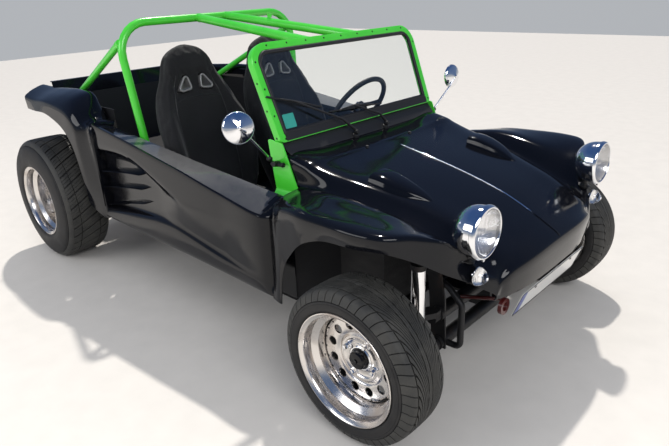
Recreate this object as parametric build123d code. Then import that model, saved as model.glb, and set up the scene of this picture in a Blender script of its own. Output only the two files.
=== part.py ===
from build123d import *
from math import atan2, cos, degrees, hypot, radians, sin
import os

# A two-seat open dune buggy on a flat-floored rear-engine platform: moulded tub, roll cage, steered front wheels.
# Millimetres. +X forward, +Y to the car's left, +Z up. The ground is z = 0.
# Lengths along the car are written from the midpoint between the axles, and moved at the end by place().

os.makedirs("parts", exist_ok=True)

# Driving dimensions: platform
wheelbase = 2400
nose_reach = 346
tail_reach = 668
front_track_half = 741
rear_track_half = 712
front_axle_x = wheelbase / 2
rear_axle_x = -wheelbase / 2
nose_x = front_axle_x + nose_reach
tail_x = rear_axle_x - tail_reach
centre_shift = -(nose_x + tail_x) / 2

# Driving dimensions: wheels
rim_seat_radius = 190.5
rim_flange_radius = 207.5
rim_wall = 4
lug_circle_radius = 65
lug_hole_radius = 7
vent_circle_radius = 122
vent_radius = 17
front_tyre_radius = 288
front_tyre_width = 201
front_rim_width = 195
rear_tyre_radius = 355.5
rear_tyre_width = 279
rear_rim_width = 266
tyre_wall = 12
fit_gap = 0.3
running_gap = 0.05

# Driving dimensions: moulded body
skin_wall = 5
panel_gap = 0.3
floor_bottom_z = 250
floor_wall = 4
tunnel_width = 150
tunnel_height = 150
cockpit_half = 561.7
torsion_x = rear_axle_x + 340
torsion_z = 320
torsion_radius = 52
bay_half = 548

# Driving dimensions: windscreen
screen_bottom_x = front_axle_x - 593
screen_bottom_z = 897
screen_top_x = screen_bottom_x - 146
screen_top_z = 1268
screen_bottom_half = 508
screen_top_half = 524
screen_bar = 30
screen_depth = 34
screen_corner = 85
seal_width = 15
glass_wall = 6

# Driving dimensions: roll cage
cage_tube_radius = 20
bar_tube_radius = 21
stay_tube_radius = 18
hoop_top_x = rear_axle_x + 728
hoop_top_z = 1332
hoop_half = 567
hoop_bend = 150

# Driving dimensions: steering and lamps
steer_pin_y = 630
steer_pin_radius = 10
lamp_radius = 85
lamp_depth = 112
lamp_x = front_axle_x + 295
lamp_y = 467.5
lamp_z = 735


def place(shape):
    """Moves a shape from mid-axle lengths to the model's own origin."""
    return Pos(centre_shift, 0, 0) * shape


def save(shape, name):
    """Writes one node. A list of solids that don't touch becomes one node."""
    if isinstance(shape, list):
        shape = Compound([solid for piece in shape for solid in piece.solids()])
    shape = place(shape)
    shape.label = name
    export_step(shape, f"parts/{name}.step")
    print(name, round(shape.volume / 1000), "cm3")


def other_side(shape):
    return mirror(shape, about=Plane.XZ)


def offset_line(points, wall):
    """The same open line moved to its right-hand side by the wall, corners mitred."""
    moved = []
    for i, (u, v) in enumerate(points):
        before = points[max(i - 1, 0)]
        after = points[min(i + 1, len(points) - 1)]
        ways = []
        for (a, b), (c, d) in ((before, (u, v)), ((u, v), after)):
            run = hypot(c - a, d - b)
            if run > 0:
                ways.append(((d - b) / run, -(c - a) / run))
        nu = sum(w[0] for w in ways) / len(ways)
        nv = sum(w[1] for w in ways) / len(ways)
        scale = wall / (nu * nu + nv * nv)
        moved.append((u + nu * scale, v + nv * scale))
    return moved


def wall_face(points, wall):
    """A thin closed section: the outer line and the same line one wall further in."""
    inner = offset_line(points, wall)
    loop = list(points) + inner[::-1]
    return make_face(Polyline(*loop, close=True))


def cross_plane(x):
    """A section plane across the car: local x is the car's +Y, local y is +Z."""
    return Plane(origin=(x, 0, 0), x_dir=(0, 1, 0), z_dir=(1, 0, 0))


def side_plane(y):
    """A plane along the car: local x is the car's +X, local y is +Z, facing -Y."""
    return Plane(origin=(0, y, 0), x_dir=(1, 0, 0), z_dir=(0, -1, 0))


def ruled_solid(loops):
    """A closed solid through loops of the same count of points, with a ruled face between each pair of edges."""
    faces = []
    for near, far in zip(loops, loops[1:]):
        for j in range(len(near)):
            k = (j + 1) % len(near)
            faces.append(
                Face.make_surface_from_curves(
                    Edge.make_line(near[j], near[k]), Edge.make_line(far[j], far[k])
                )
            )
    for loop in (loops[0], loops[-1]):
        faces.append(Face(Wire.make_polygon([Vector(*p) for p in loop], close=True)))
    solid = Solid(Shell(faces))
    return -solid if solid.volume < 0 else solid


def skin_loft(stations, wall):
    """A moulded skin through sections across the car: (x, [(y, z), ...])."""
    loops = []
    for x, points in stations:
        inner = offset_line(points, wall)
        loops.append([(x, y, z) for y, z in list(points) + inner[::-1]])
    return ruled_solid(loops)


def tube(points, radius, bends=None, hollow=0):
    """A round tube along straight runs joined by bends."""
    path = FilletPolyline(*points, radius=bends) if bends else Polyline(*points)
    start = path % 0
    profile = Plane(origin=path @ 0, z_dir=start) * Circle(radius)
    return sweep(profile, path=path)


def bar(a, b, radius):
    """A straight round bar from a to b."""
    run = Vector(*b) - Vector(*a)
    return extrude(Plane(origin=a, z_dir=run) * Circle(radius), run.length)


def disc(centre, axis, radius, length):
    """A cylinder whose flat face is centred at a point and which runs along an axis."""
    return extrude(Plane(origin=centre, z_dir=axis) * Circle(radius), length)


def turned(profile, centre, axis, x_dir):
    """Turns a closed (along, radius) outline about the axis through a centre."""
    frame = Plane(origin=centre, x_dir=axis, z_dir=Vector(*axis).cross(Vector(*x_dir)))
    face = frame * make_face(Polyline(*profile, close=True))
    return revolve(face, axis=Axis(centre, axis))


# Front body. Columns: x ahead of the front axle, crown z, shoulder y z, valley y z, join y z, top y z, crease y z,
# lip y z. The hood runs from crown to valley, and the fender from valley to lip. The lip's lower edge is the arch.
front_table = [
    (-500, 832, 505, 824, 507, 738, 540, 733, 616, 722, 662, 694, 692, 318),
    (-468, 828, 504, 820, 510, 740, 545, 740, 624, 730, 692, 702, 699, 317),
    (-444, 822, 503, 813, 512, 742, 550, 746, 630, 738, 698, 712, 700, 316),
    (-410, 815, 500, 806, 516, 745, 558, 760, 640, 748, 712, 724, 702, 485),
    (-350, 804, 490, 796, 520, 747, 560, 768, 650, 758, 728, 740, 718, 562),
    (-260, 787, 470, 780, 514, 736, 560, 775, 655, 770, 750, 753, 742, 640),
    (-150, 765, 443, 756, 500, 714, 550, 766, 650, 770, 760, 758, 750, 684),
    (0, 728, 405, 717, 475, 678, 522, 736, 630, 759, 766, 761, 754, 698),
    (100, 697, 390, 687, 457, 645, 514, 706, 600, 742, 737, 758, 728, 701),
    (160, 672, 386, 662, 446, 622, 498, 682, 555, 718, 640, 739, 645, 656),
    (210, 649, 382, 636, 434, 598, 474, 640, 510, 672, 560, 712, 560, 598),
    (240, 635, 378, 618, 426, 586, 444, 600, 460, 616, 476, 634, 500, 562),
    (280, 614, 370, 592, 404, 560, 414, 562, 424, 561, 434, 555, 440, 520),
    (328, 586, 345, 562, 378, 528, 384, 524, 389, 515, 391, 504, 388, 476),
]
front_rows = [(front_axle_x + row[0],) + row[1:] for row in front_table]
split_x = front_rows[0][0]
cowl_row = (split_x - 100, 851, 505, 836, 507, 742)
flange_y = 574
nose_rows = [(0, nose_x), (190, nose_x - 5), (330, nose_x - 26), (392, nose_x - 46)]
nose_top_z = 586
nose_low_z = 456


def hood_points(row):
    x, crown_z, shoulder_y, shoulder_z, valley_y, valley_z = row[:6]
    half = [
        (shoulder_y * 0.6, crown_z - (crown_z - shoulder_z) * 0.3),
        (shoulder_y - 18, shoulder_z + 2),
        (shoulder_y, shoulder_z - 12),
        (valley_y, valley_z),
    ]
    left = [(-y, z) for y, z in half[::-1]]
    return left + [(0, crown_z)] + half


def nose_plan():
    half = [(x, y) for y, x in nose_rows]
    return [(x, -y) for x, y in half[:0:-1]] + half


hood = skin_loft([(r[0], hood_points(r)) for r in [cowl_row] + front_rows], skin_wall)
for side in (-1, 1):
    flange = [
        (x, [(valley_y - 4, valley_z), (flange_y, valley_z - 21)])
        for x, crown_z, shoulder_y, shoulder_z, valley_y, valley_z in (cowl_row, (split_x - panel_gap,) + front_rows[0][1:6])
    ]
    flange = skin_loft(flange, skin_wall)
    hood += flange if side > 0 else other_side(flange)
nose_faces = []
for z, back in ((nose_low_z, 8), (nose_top_z - 14, 0)):
    outline = [(x - back, y) for x, y in nose_plan()]
    inside = [(x - skin_wall, y * 0.99) for x, y in outline]
    nose_faces.append(Plane.XY.offset(z) * make_face(Polyline(*outline, *inside[::-1], close=True)))
fascia = loft(nose_faces, ruled=True)

# Air scoops on the hood, open to the back. Columns: x ahead of the front axle, outer y, inner y, rise, hood z.
scoop_table = [(-232, 398, 286, 30, 769), (-150, 392, 290, 36, 753), (-70, 350, 296, 24, 737), (-24, 318, 300, 8, 725)]
scoop_wall = 3


def scoop_points(row):
    x, outer_y, inner_y, rise, hood_z = row
    centre_y = (outer_y + inner_y) / 2
    half = (outer_y - inner_y) / 2
    arch = [(centre_y + half * cos(radians(a)), hood_z + rise * sin(radians(a))) for a in (0, 36, 72, 108, 144, 180)]
    foot = hood_z - skin_wall
    return [(arch[0][0], foot)] + arch + [(arch[-1][0], foot)]


scoop = skin_loft([(front_axle_x + r[0], scoop_points(r)[::-1]) for r in scoop_table], scoop_wall)
save(hood + fascia + scoop + other_side(scoop), "front_panel")


def fender_points(row):
    valley_y, valley_z = row[4:6]
    rest = row[6:]
    return [(valley_y + panel_gap, valley_z)] + list(zip(rest[::2], rest[1::2]))


front_fender = skin_loft([(r[0], fender_points(r)) for r in front_rows], skin_wall)
save(front_fender, "front_fender_left")
save(other_side(front_fender), "front_fender_right")

# Side panel. Columns: x, flank y, sill y, sill z, crease z, inner z, recess top z, recess low z, recess depth.
# Its front end turns inwards, and with the fender's rear edge makes an upright groove.
cap_inner_y = 580
cap_wall_y = 562
cap_wall_low_z = 262
side_rear_x = rear_axle_x + 560
side_table = [
    (split_x - 1, 664, 690, 318, 657, 714, 600, 540, 0),
    (split_x - 34, 698, 692, 318, 664, 717, 600, 540, 0),
    (front_axle_x - 800, 700, 690, 322, 701, 737, 600, 530, 0),
    (front_axle_x - 1090, 700, 692, 328, 752, 756, 595, 525, 0),
    (rear_axle_x + 1100, 700, 694, 331, 784, 774, 662, 478, 24),
    (rear_axle_x + 870, 700, 698, 336, 818, 792, 722, 440, 38),
    (side_rear_x, 700, 708, 348, 858, 822, 712, 404, 46),
]
strake_table = [(606, 655), (520, 582), (416, 508)]
strake_front_x = rear_axle_x + 960
strake_y = 696
strake_wall = 8


def side_points(row):
    x, flank_y, sill_y, sill_z, crease_z, inner_z, top_z, low_z, depth = row
    return [
        (cap_wall_y, cap_wall_low_z),
        (cap_inner_y, inner_z),
        (flank_y, crease_z),
        (flank_y, top_z + 10),
        (flank_y - depth, top_z - 10),
        (flank_y - depth, low_z + 10),
        (flank_y - 2, low_z - 10),
        (sill_y, sill_z),
    ]


side_panel = skin_loft([(r[0], side_points(r)) for r in side_table[::-1]], skin_wall)
for rear_z, front_z in strake_table:
    blade = [
        (side_rear_x, rear_z),
        (strake_front_x, front_z),
        (strake_front_x, front_z + strake_wall),
        (side_rear_x, rear_z + strake_wall),
    ]
    depth = side_table[-1][-1] + skin_wall - 1
    side_panel += extrude(side_plane(strake_y) * make_face(Polyline(*blade, close=True)), depth)
save(side_panel, "side_panel_left")
save(other_side(side_panel), "side_panel_right")

# Rear fender: sections in planes through the arch's own axis, by angle up from straight ahead.
# Columns: angle, lip radius y, crease radius y, shoulder radius y, inner radius y, foot radius y.
arch_centre = (rear_axle_x, rear_tyre_radius)
rear_table = [
    (5, 418, 736, 528, 730, 548, 716, 559, 712, 554, 706),
    (28, 472, 741, 535, 738, 600, 718, 631, 712, 624, 702),
    (42, 519, 742, 600, 740, 700, 712, 747, 700, 722, 560),
    (47, 530, 742, 635, 739, 686, 706, 690, 588, 664, 548.3),
    (53, 534, 741, 646, 738, 696, 692, 704, 572, 664, 548.3),
    (60, 528, 738, 632, 733, 690, 672, 710, 556, 650, 548.3),
    (70, 514, 734, 600, 727, 650, 658, 665, 554, 600, 548.3),
    (84, 506, 728, 574, 719, 610, 646, 624, 553, 560, 548.3),
    (102, 510, 720, 574, 708, 608, 640, 624, 553, 560, 548.3),
    (124, 590, 700, 668, 694, 706, 632, 722, 553, 640, 548.3),
]
tail_cut = ((rear_axle_x - 162, 960), (rear_axle_x - 300, 840))


def rear_loop(row):
    angle, lip_r, lip_y, crease_r, crease_y, shoulder_r, shoulder_y, inner_r, inner_y, foot_r, foot_y = row
    points = [(foot_y, foot_r), (inner_y, inner_r), (shoulder_y, shoulder_r), (crease_y, crease_r), (lip_y, lip_r)]
    inner = offset_line(points, skin_wall)
    ax, az = arch_centre
    c, w = cos(radians(angle)), sin(radians(angle))
    return [(ax + r * c, y, az + r * w) for y, r in points + inner[::-1]]


rear_fender = ruled_solid([rear_loop(r) for r in rear_table])
(cut_top, cut_low) = tail_cut
way = (cut_low[0] - cut_top[0], cut_low[1] - cut_top[1])
waste = [
    (cut_top[0] - way[0], cut_top[1] - way[1]),
    (cut_low[0] + way[0], cut_low[1] + way[1]),
    (cut_low[0] + way[0] - 900, cut_low[1] + way[1]),
    (cut_top[0] - way[0] - 900, cut_top[1] - way[1]),
]
rear_fender -= extrude(side_plane(1000) * make_face(Polyline(*waste, close=True)), 1000)
save(rear_fender, "rear_fender_left")
save(other_side(rear_fender), "rear_fender_right")

# Back panel, cabin tub, floor pan and dash
back_half = 548
back_low_x = rear_axle_x - 135
back_low_z = 560
back_top_z = 985
back_lean = 0.19
back_top_x = back_low_x - back_lean * (back_top_z - back_low_z)
back_line = [(back_low_x, back_low_z), (back_top_x, back_top_z), (back_top_x - 20, back_top_z)]
back_panel = extrude(side_plane(back_half) * wall_face(back_line, skin_wall), 2 * back_half)
save(back_panel, "rear_panel")

bay_front_x = side_rear_x
bay_back_x = back_low_x + skin_wall + 2 * panel_gap
bay_floor_z = 560
bay_top_z = 900
bay_back_top_x = bay_back_x - back_lean * (bay_top_z - bay_floor_z)
toe_x = front_axle_x - 170
body_turn_x = front_axle_x - 510
toe_turn_x = front_axle_x - 380
toe_half = 400
toe_top_z = 690


def tub_outline(gap):
    half = cockpit_half - gap
    toe = toe_half - gap
    return [
        (bay_front_x + gap, -half),
        (body_turn_x, -half),
        (toe_turn_x, -toe - 20),
        (toe_x - gap, -toe),
        (toe_x - gap, toe),
        (toe_turn_x, toe + 20),
        (body_turn_x, half),
        (bay_front_x + gap, half),
    ]


def tub_solid(gap, low, high):
    face = make_face(Polyline(*tub_outline(gap), close=True))
    return Pos(0, 0, low) * extrude(face, high - low)


tub_low_z = floor_bottom_z + floor_wall
tub = tub_solid(0, tub_low_z, toe_top_z) - tub_solid(skin_wall, tub_low_z - 1, toe_top_z + 1)
bay_plan = [
    (bay_front_x + skin_wall, bay_floor_z),
    (bay_front_x + skin_wall, bay_top_z),
    (bay_back_top_x, bay_top_z),
    (bay_back_x, bay_floor_z),
]
bay_out = extrude(side_plane(bay_half) * make_face(Polyline(*bay_plan, close=True)), 2 * bay_half)
bay_in = extrude(
    side_plane(bay_half - skin_wall)
    * make_face(
        Polyline(
            (bay_front_x + 20, bay_floor_z + skin_wall),
            (bay_front_x + 20, bay_top_z + 1),
            (bay_back_top_x + skin_wall, bay_top_z + 1),
            (bay_back_x + skin_wall, bay_floor_z + skin_wall),
            close=True,
        )
    ),
    2 * (bay_half - skin_wall),
)
tub += bay_out - bay_in
tub -= Pos(bay_front_x, 0, bay_floor_z + skin_wall) * Box(
    60, 2 * (cockpit_half - skin_wall), 400, align=(Align.CENTER, Align.CENTER, Align.MIN)
)
tunnel_cut = Pos(toe_x, 0, tub_low_z) * Box(
    60, tunnel_width + 4, tunnel_height, align=(Align.CENTER, Align.CENTER, Align.MIN)
)
tub -= tunnel_cut + Pos(bay_front_x - toe_x, 0, 0) * tunnel_cut

pan_front_x = toe_x + 15
pan_back_x = torsion_x + torsion_radius + fit_gap
neck_x = front_axle_x
pan_face = make_face(
    Polyline(
        (pan_back_x, -420),
        (bay_front_x, -cockpit_half - 4),
        (body_turn_x, -cockpit_half - 4),
        (toe_turn_x, -toe_half - 24),
        (pan_front_x, -260),
        (pan_front_x, 260),
        (toe_turn_x, toe_half + 24),
        (body_turn_x, cockpit_half + 4),
        (bay_front_x, cockpit_half + 4),
        (pan_back_x, 420),
        close=True,
    )
)
pan = Pos(0, 0, floor_bottom_z) * extrude(pan_face, floor_wall)
tunnel_outline = [
    (-tunnel_width / 2, 0),
    (-tunnel_width / 2, tunnel_height - 60),
    (-tunnel_width / 2 + 35, tunnel_height),
    (tunnel_width / 2 - 35, tunnel_height),
    (tunnel_width / 2, tunnel_height - 60),
    (tunnel_width / 2, 0),
]
tunnel_face = Pos(0, floor_bottom_z + floor_wall - 1) * wall_face(tunnel_outline, 3)
pan += extrude(cross_plane(pan_back_x) * tunnel_face, pan_front_x - pan_back_x)
pan += Pos(pan_front_x - 20, 0, floor_bottom_z) * Box(
    neck_x - pan_front_x + 20 - fit_gap, 150, 12, align=(Align.MIN, Align.CENTER, Align.MIN)
)
save(pan, "floor_pan")

dash_rows = [(-480, 832.6), (-303, 840.7), (0, 845.0), (303, 840.7), (480, 832.6)]
dash_loops = []
for y, top_z in dash_rows:
    line = [(5, top_z - 2.8), (-19, top_z), (-47, top_z - 6), (-102, top_z - 38), (-79, 655)]
    line = [(screen_bottom_x + x, z) for x, z in line]
    dash_loops.append([(x, y, z) for x, z in line[::-1] + offset_line(line[::-1], skin_wall)[::-1]])
dash = ruled_solid(dash_loops)

# Windscreen: a frame of flat bar round a rubber seal and its laminated glass, on two plate brackets
screen_rise = screen_top_z - screen_bottom_z
screen_back = screen_bottom_x - screen_top_x
screen_height = hypot(screen_rise, screen_back)
screen_plane = Plane(
    origin=(screen_bottom_x, 0, screen_bottom_z),
    x_dir=(0, 1, 0),
    z_dir=(screen_rise / screen_height, 0, screen_back / screen_height),
)


def screen_outline(inset, top_radius, low_radius):
    low, high = inset, screen_height - inset
    half_low = screen_bottom_half - inset
    half_high = screen_top_half - inset
    outline = Polyline(
        (-half_low, low), (-half_high, high), (half_high, high), (half_low, low), close=True
    )
    face = make_face(outline)
    corners = face.vertices().sort_by(Axis.Y)
    face = fillet(corners[2:], top_radius)
    corners = face.vertices().sort_by(Axis.Y)
    return fillet(corners[:2], low_radius)


opening = screen_bar + fit_gap
seal_groove = 7
frame_face = screen_outline(0, screen_corner, 22) - screen_outline(
    screen_bar, screen_corner - screen_bar, 14
)
screen_frame = extrude(screen_plane * frame_face, -screen_depth)
bracket_wall = 5
bracket_outline = [(-62, 912), (9, 900), (76, 752), (-16, 748)]
bracket_foot = [(512, 753), (520, 744.5), (560, 732.5)]
for side in (-1, 1):
    plate_y = side * (screen_bottom_half - 0.4)
    outline = [(screen_bottom_x + x, z) for x, z in bracket_outline]
    screen_frame += extrude(side_plane(plate_y) * make_face(Polyline(*outline, close=True)), -side * bracket_wall)
    foot = extrude(cross_plane(screen_bottom_x - 16) * wall_face(bracket_foot, bracket_wall), 92)
    screen_frame += foot if side > 0 else other_side(foot)
save(screen_frame, "windscreen_frame")
seal_face = screen_outline(opening, screen_corner - opening, 14) - screen_outline(
    opening + seal_width, screen_corner - opening - seal_width, 8
)
seal = extrude(screen_plane * seal_face, -16)
seal = Pos(0, 0, 0) * seal
groove_face = screen_outline(opening + seal_width - seal_groove, 48, 10)
groove = extrude(screen_plane.offset(-4.7) * groove_face, -glass_wall - 2 * fit_gap)
save(seal - groove, "windscreen_seal")
glass_face = screen_outline(opening + seal_width - seal_groove + fit_gap, 48, 10)
glass = extrude(screen_plane.offset(-4.7 - fit_gap) * glass_face, -glass_wall)
save(glass, "windscreen_glass")

# Roll cage: main hoop, two roof bars to the windscreen and two rear stays
hoop_foot = (rear_axle_x + 820, 500, tub_low_z + 4)
hoop_points = [
    (hoop_foot[0], -hoop_foot[1], hoop_foot[2]),
    (hoop_top_x, -hoop_half, hoop_top_z),
    (hoop_top_x, hoop_half, hoop_top_z),
    hoop_foot,
]
cage = tube(hoop_points, cage_tube_radius, hoop_bend)
stay_top = (hoop_top_x + 2, hoop_half - 12, hoop_top_z - 87)
stay_foot = (rear_axle_x - 40, 506, 885)
for side in (-1, 1):
    cage += bar(
        (hoop_top_x, side * 90, hoop_top_z),
        (screen_top_x - 20, side * 155, screen_top_z - 26),
        bar_tube_radius,
    )
    cage += bar(
        (stay_top[0], side * stay_top[1], stay_top[2]),
        (stay_foot[0], side * stay_foot[1], stay_foot[2]),
        stay_tube_radius,
    )
    cage += Pos(stay_foot[0] + 20, side * (bay_half - skin_wall - fit_gap), stay_foot[2] - 20) * Box(
        70, 46, 60, align=(Align.CENTER, Align.MAX if side > 0 else Align.MIN, Align.CENTER)
    )
    cage += Pos(hoop_foot[0], side * hoop_foot[1], tub_low_z + fit_gap) * Box(
        90, 80, 5, align=(Align.CENTER, Align.CENTER, Align.MIN)
    )
screen_back_plane = screen_plane.offset(-screen_depth - fit_gap)
keep = Pos(0, 0, 0) * extrude(screen_back_plane * Rectangle(3000, 3000), -3000)
cage &= keep
save(cage, "roll_cage")

# Seats: a fabric bucket with a waisted back, raised side bolsters and two slots for the harness
seat_x = rear_axle_x + 1200
seat_y = 275
seat_half = 182
seat_back_low = (-120, 330)
seat_back_tilt = 14
seat_back_wall = 80
seat_round = 26
bolster_wall = 36


def bucket_seat():
    tilt = radians(seat_back_tilt)
    back_plane = Plane(
        origin=(seat_back_low[0], 0, seat_back_low[1]),
        x_dir=(0, 1, 0),
        z_dir=(cos(tilt), 0, sin(tilt)),
    )
    half = [
        (48, 922),
        (108, 882),
        (148, 815),
        (168, 765),
        (222, 680),
        (248, 570),
        (248, 420),
        (236, 220),
        (180, 60),
        (180, 0),
    ]
    outline = [(-u, v) for u, v in half[::-1]] + half
    face = make_face(Polyline(*outline, close=True))
    face = fillet(face.vertices().sort_by(Axis.Y)[2:], seat_round)
    back = extrude(back_plane * face, -seat_back_wall)
    front_rim = back.faces().sort_by(SortBy.AREA)[-2:].sort_by(Axis.X)[-1].edges()
    back = chamfer(front_rim, 12)
    for side in (-1, 1):
        slot = [(side * 30, 698), (side * 108, 688), (side * 44, 772)]
        slot_face = make_face(Polyline(*slot, close=True))
        slot_face = fillet(slot_face.vertices(), 7)
        back -= extrude(back_plane.offset(50) * slot_face, -200)
        wing = [(0, 150), (60, 160), (100, 330), (70, 540), (0, 620)]
        wing_plane = Plane(
            origin=(seat_back_low[0], side * 232 + bolster_wall / 2, seat_back_low[1]),
            x_dir=(cos(tilt), 0, sin(tilt)),
            z_dir=(0, -1, 0),
        )
        wing_face = make_face(Polyline(*wing, close=True))
        wing_face = fillet(wing_face.vertices().sort_by(Axis.X)[2:], seat_round)
        back += extrude(wing_plane * wing_face, bolster_wall)
    base_line = [(-230, 300), (-120, 268), (260, 300), (285, 345), (250, 392), (-60, 352), (-150, 420)]
    base_face = make_face(Polyline(*base_line, close=True))
    base_face = fillet(base_face.vertices().sort_by(Axis.X)[-3:], 18)
    base = extrude(side_plane(seat_half) * base_face, 2 * seat_half)
    side_line = [(-160, 330), (180, 330), (230, 390), (60, 450), (-110, 520)]
    side_face = make_face(Polyline(*side_line, close=True))
    side_face = fillet(side_face.vertices().sort_by(Axis.X)[-2:], 18)
    for side in (-1, 1):
        base += extrude(side_plane(side * 175 + bolster_wall / 2) * side_face, bolster_wall)
    for side in (-1, 1):
        base += Pos(40, side * 140, tub_low_z + fit_gap) * Box(
            300, 24, 60, align=(Align.CENTER, Align.CENTER, Align.MIN)
        )
    return back + base


seat = bucket_seat()
save(Pos(seat_x, seat_y, 0) * seat, "seat_left")
save(Pos(seat_x, -seat_y, 0) * seat, "seat_right")

# Steering wheel and column
wheel_centre = (front_axle_x - 900, 300, 872)
wheel_radius = 175
grip_radius = 14
column_slope = 33
column_radius = 18
column_way = Vector(cos(radians(column_slope)), 0, -sin(radians(column_slope)))
column_gap = 6


def along_column(distance):
    point = Vector(*wheel_centre) + column_way * distance
    return (point.X, point.Y, point.Z)


hub_plane = Plane(origin=wheel_centre, x_dir=(0, 1, 0), z_dir=-column_way)
steering_wheel = hub_plane * Torus(wheel_radius, grip_radius)
steering_wheel += extrude(hub_plane.offset(-34) * Circle(32), 40)
for spoke_angle in (0, 90, 180):
    spoke = Pos(wheel_radius / 2, 0, -2) * Box(wheel_radius - 10, 30, 5)
    steering_wheel += hub_plane * (Rot(0, 0, spoke_angle) * spoke)
steering_wheel += extrude(hub_plane.offset(-120) * Circle(9), 100)
save(steering_wheel, "steering_wheel")
column = bar(along_column(34 + column_gap), along_column(950), column_radius)
column -= bar(along_column(30), along_column(130), 9 + running_gap)
save(column, "steering_column")
column_hole = bar(along_column(0), along_column(1000), column_radius + fit_gap)
save(dash - column_hole, "dash_panel")
save(tub - column_hole, "cabin_tub")


# Wheels
def rim_profile(width, disc_out, outer_depth):
    """The rim's barrel: flange, bead seat, well, bead seat, flange, about the wheel's axis."""
    half = width / 2
    seat_r = rim_seat_radius
    line = [
        (-half, rim_flange_radius),
        (-half + 8, rim_flange_radius - 8),
        (-half + 12, seat_r),
        (-half + 40, seat_r),
        (-half + 52, seat_r - 22),
        (half - 62, seat_r - 22),
        (half - 50, seat_r),
        (half - 12, seat_r),
        (half - 8, rim_flange_radius - 8),
        (half, rim_flange_radius),
    ]
    return line


def rim(width, disc_y, bore_radius):
    """One steel wheel centred on y = 0 whose outer side faces +Y."""
    line = rim_profile(width, disc_y, 0)
    inner = offset_line(line, rim_wall)
    barrel = turned(line + inner[::-1], (0, 0, 0), (0, 1, 0), (1, 0, 0))
    face_line = [
        (disc_y - 34, rim_seat_radius - 24),
        (disc_y + 4, rim_seat_radius - 26),
        (disc_y + 14, 150),
        (disc_y + 8, 104),
        (disc_y, 92),
        (disc_y, bore_radius),
        (disc_y - 6, bore_radius),
        (disc_y - 6, 94),
        (disc_y + 2, 108),
        (disc_y + 8, 150),
        (disc_y - 2, rim_seat_radius - 32),
        (disc_y - 34, rim_seat_radius - 30),
    ]
    spider = turned(face_line, (0, 0, 0), (0, 1, 0), (1, 0, 0))
    tool = Plane(origin=(0, disc_y + 30, 0), x_dir=(1, 0, 0), z_dir=(0, -1, 0))
    vents = [tool * (Rot(0, 0, 30 * i) * (Pos(vent_circle_radius, 0, 0) * Circle(vent_radius))) for i in range(12)]
    lugs = [
        tool * (Rot(0, 0, 45 + 90 * i) * (Pos(lug_circle_radius, 0, 0) * Circle(lug_hole_radius)))
        for i in range(4)
    ]
    for hole in vents + lugs:
        spider -= extrude(hole, 60)
    return barrel + spider


def tyre(radius, width, rim_width):
    """A tyre's hollow section: beads, rounded sidewalls and a slightly crowned tread."""
    half = width / 2
    bead = rim_width / 2 - 12 - fit_gap
    seat_r = rim_seat_radius + fit_gap
    rise = radius - rim_flange_radius
    side = [
        (bead, seat_r),
        (bead + 1, rim_flange_radius - 2),
        (half - 2, rim_flange_radius + 0.16 * rise),
        (half, rim_flange_radius + 0.32 * rise),
        (half - 5, rim_flange_radius + 0.54 * rise),
        (half * 0.88, rim_flange_radius + 0.78 * rise),
        (half * 0.76, rim_flange_radius + 0.94 * rise),
        (half * 0.5, radius),
    ]
    outer = [(-y, r) for y, r in side] + side[::-1]
    inner = offset_line(outer, tyre_wall)
    inner[0] = (inner[0][0], seat_r)
    inner[-1] = (inner[-1][0], seat_r)
    return turned(outer + inner[::-1], (0, 0, 0), (0, 1, 0), (1, 0, 0))


def drum(outer_radius, inner_y, face_y, bore_radius):
    line = [
        (face_y, bore_radius),
        (face_y, outer_radius - 12),
        (face_y - 12, outer_radius),
        (inner_y, outer_radius),
        (inner_y, outer_radius - 8),
        (face_y - 10, outer_radius - 16),
        (face_y - 10, 36),
        (inner_y + 6, 36),
        (inner_y + 6, bore_radius),
    ]
    return turned(line, (0, 0, 0), (0, 1, 0), (1, 0, 0))


spindle_radius = 15
hub_bore = spindle_radius + running_gap
front_disc_y = -6
front_drum_in = -68
wheel_z = {"f": front_tyre_radius, "r": rear_tyre_radius}
front_spot = Pos(front_axle_x, front_track_half, front_tyre_radius)
rear_spot = Pos(rear_axle_x, rear_track_half, rear_tyre_radius)
front_rim = rim(front_rim_width, front_disc_y, 32)
rear_disc_y = 2
rear_rim = rim(rear_rim_width, rear_disc_y, 32)
front_drum = drum(112, front_drum_in, front_disc_y - 6 - fit_gap, hub_bore)
rear_drum = drum(122, -100, rear_disc_y - 6 - fit_gap, hub_bore)
front_cap = turned(
    [(front_disc_y, 0), (front_disc_y, 31), (front_disc_y + 22, 29), (front_disc_y + 34, 16), (front_disc_y + 37, 0)],
    (0, 0, 0),
    (0, 1, 0),
    (1, 0, 0),
)
for side, flip in (("left", False), ("right", True)):
    for end, spot, parts in (
        ("front", front_spot, (front_rim, tyre(front_tyre_radius, front_tyre_width, front_rim_width), front_drum)),
        ("rear", rear_spot, (rear_rim, tyre(rear_tyre_radius, rear_tyre_width, rear_rim_width), rear_drum)),
    ):
        for name, part in zip(("rim", "tyre", "drum"), parts):
            here = spot * part
            save(other_side(here) if flip else here, f"{end}_{name}_{side}")

# Knuckles: kingpin, stub axle, backing plate and steering arm
eye_radius = 22
eye_height = 22
knuckle_half = 70
axle_z = front_tyre_radius
arm_end = (front_axle_x - 118, steer_pin_y - 22, axle_z - 40)


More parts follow.
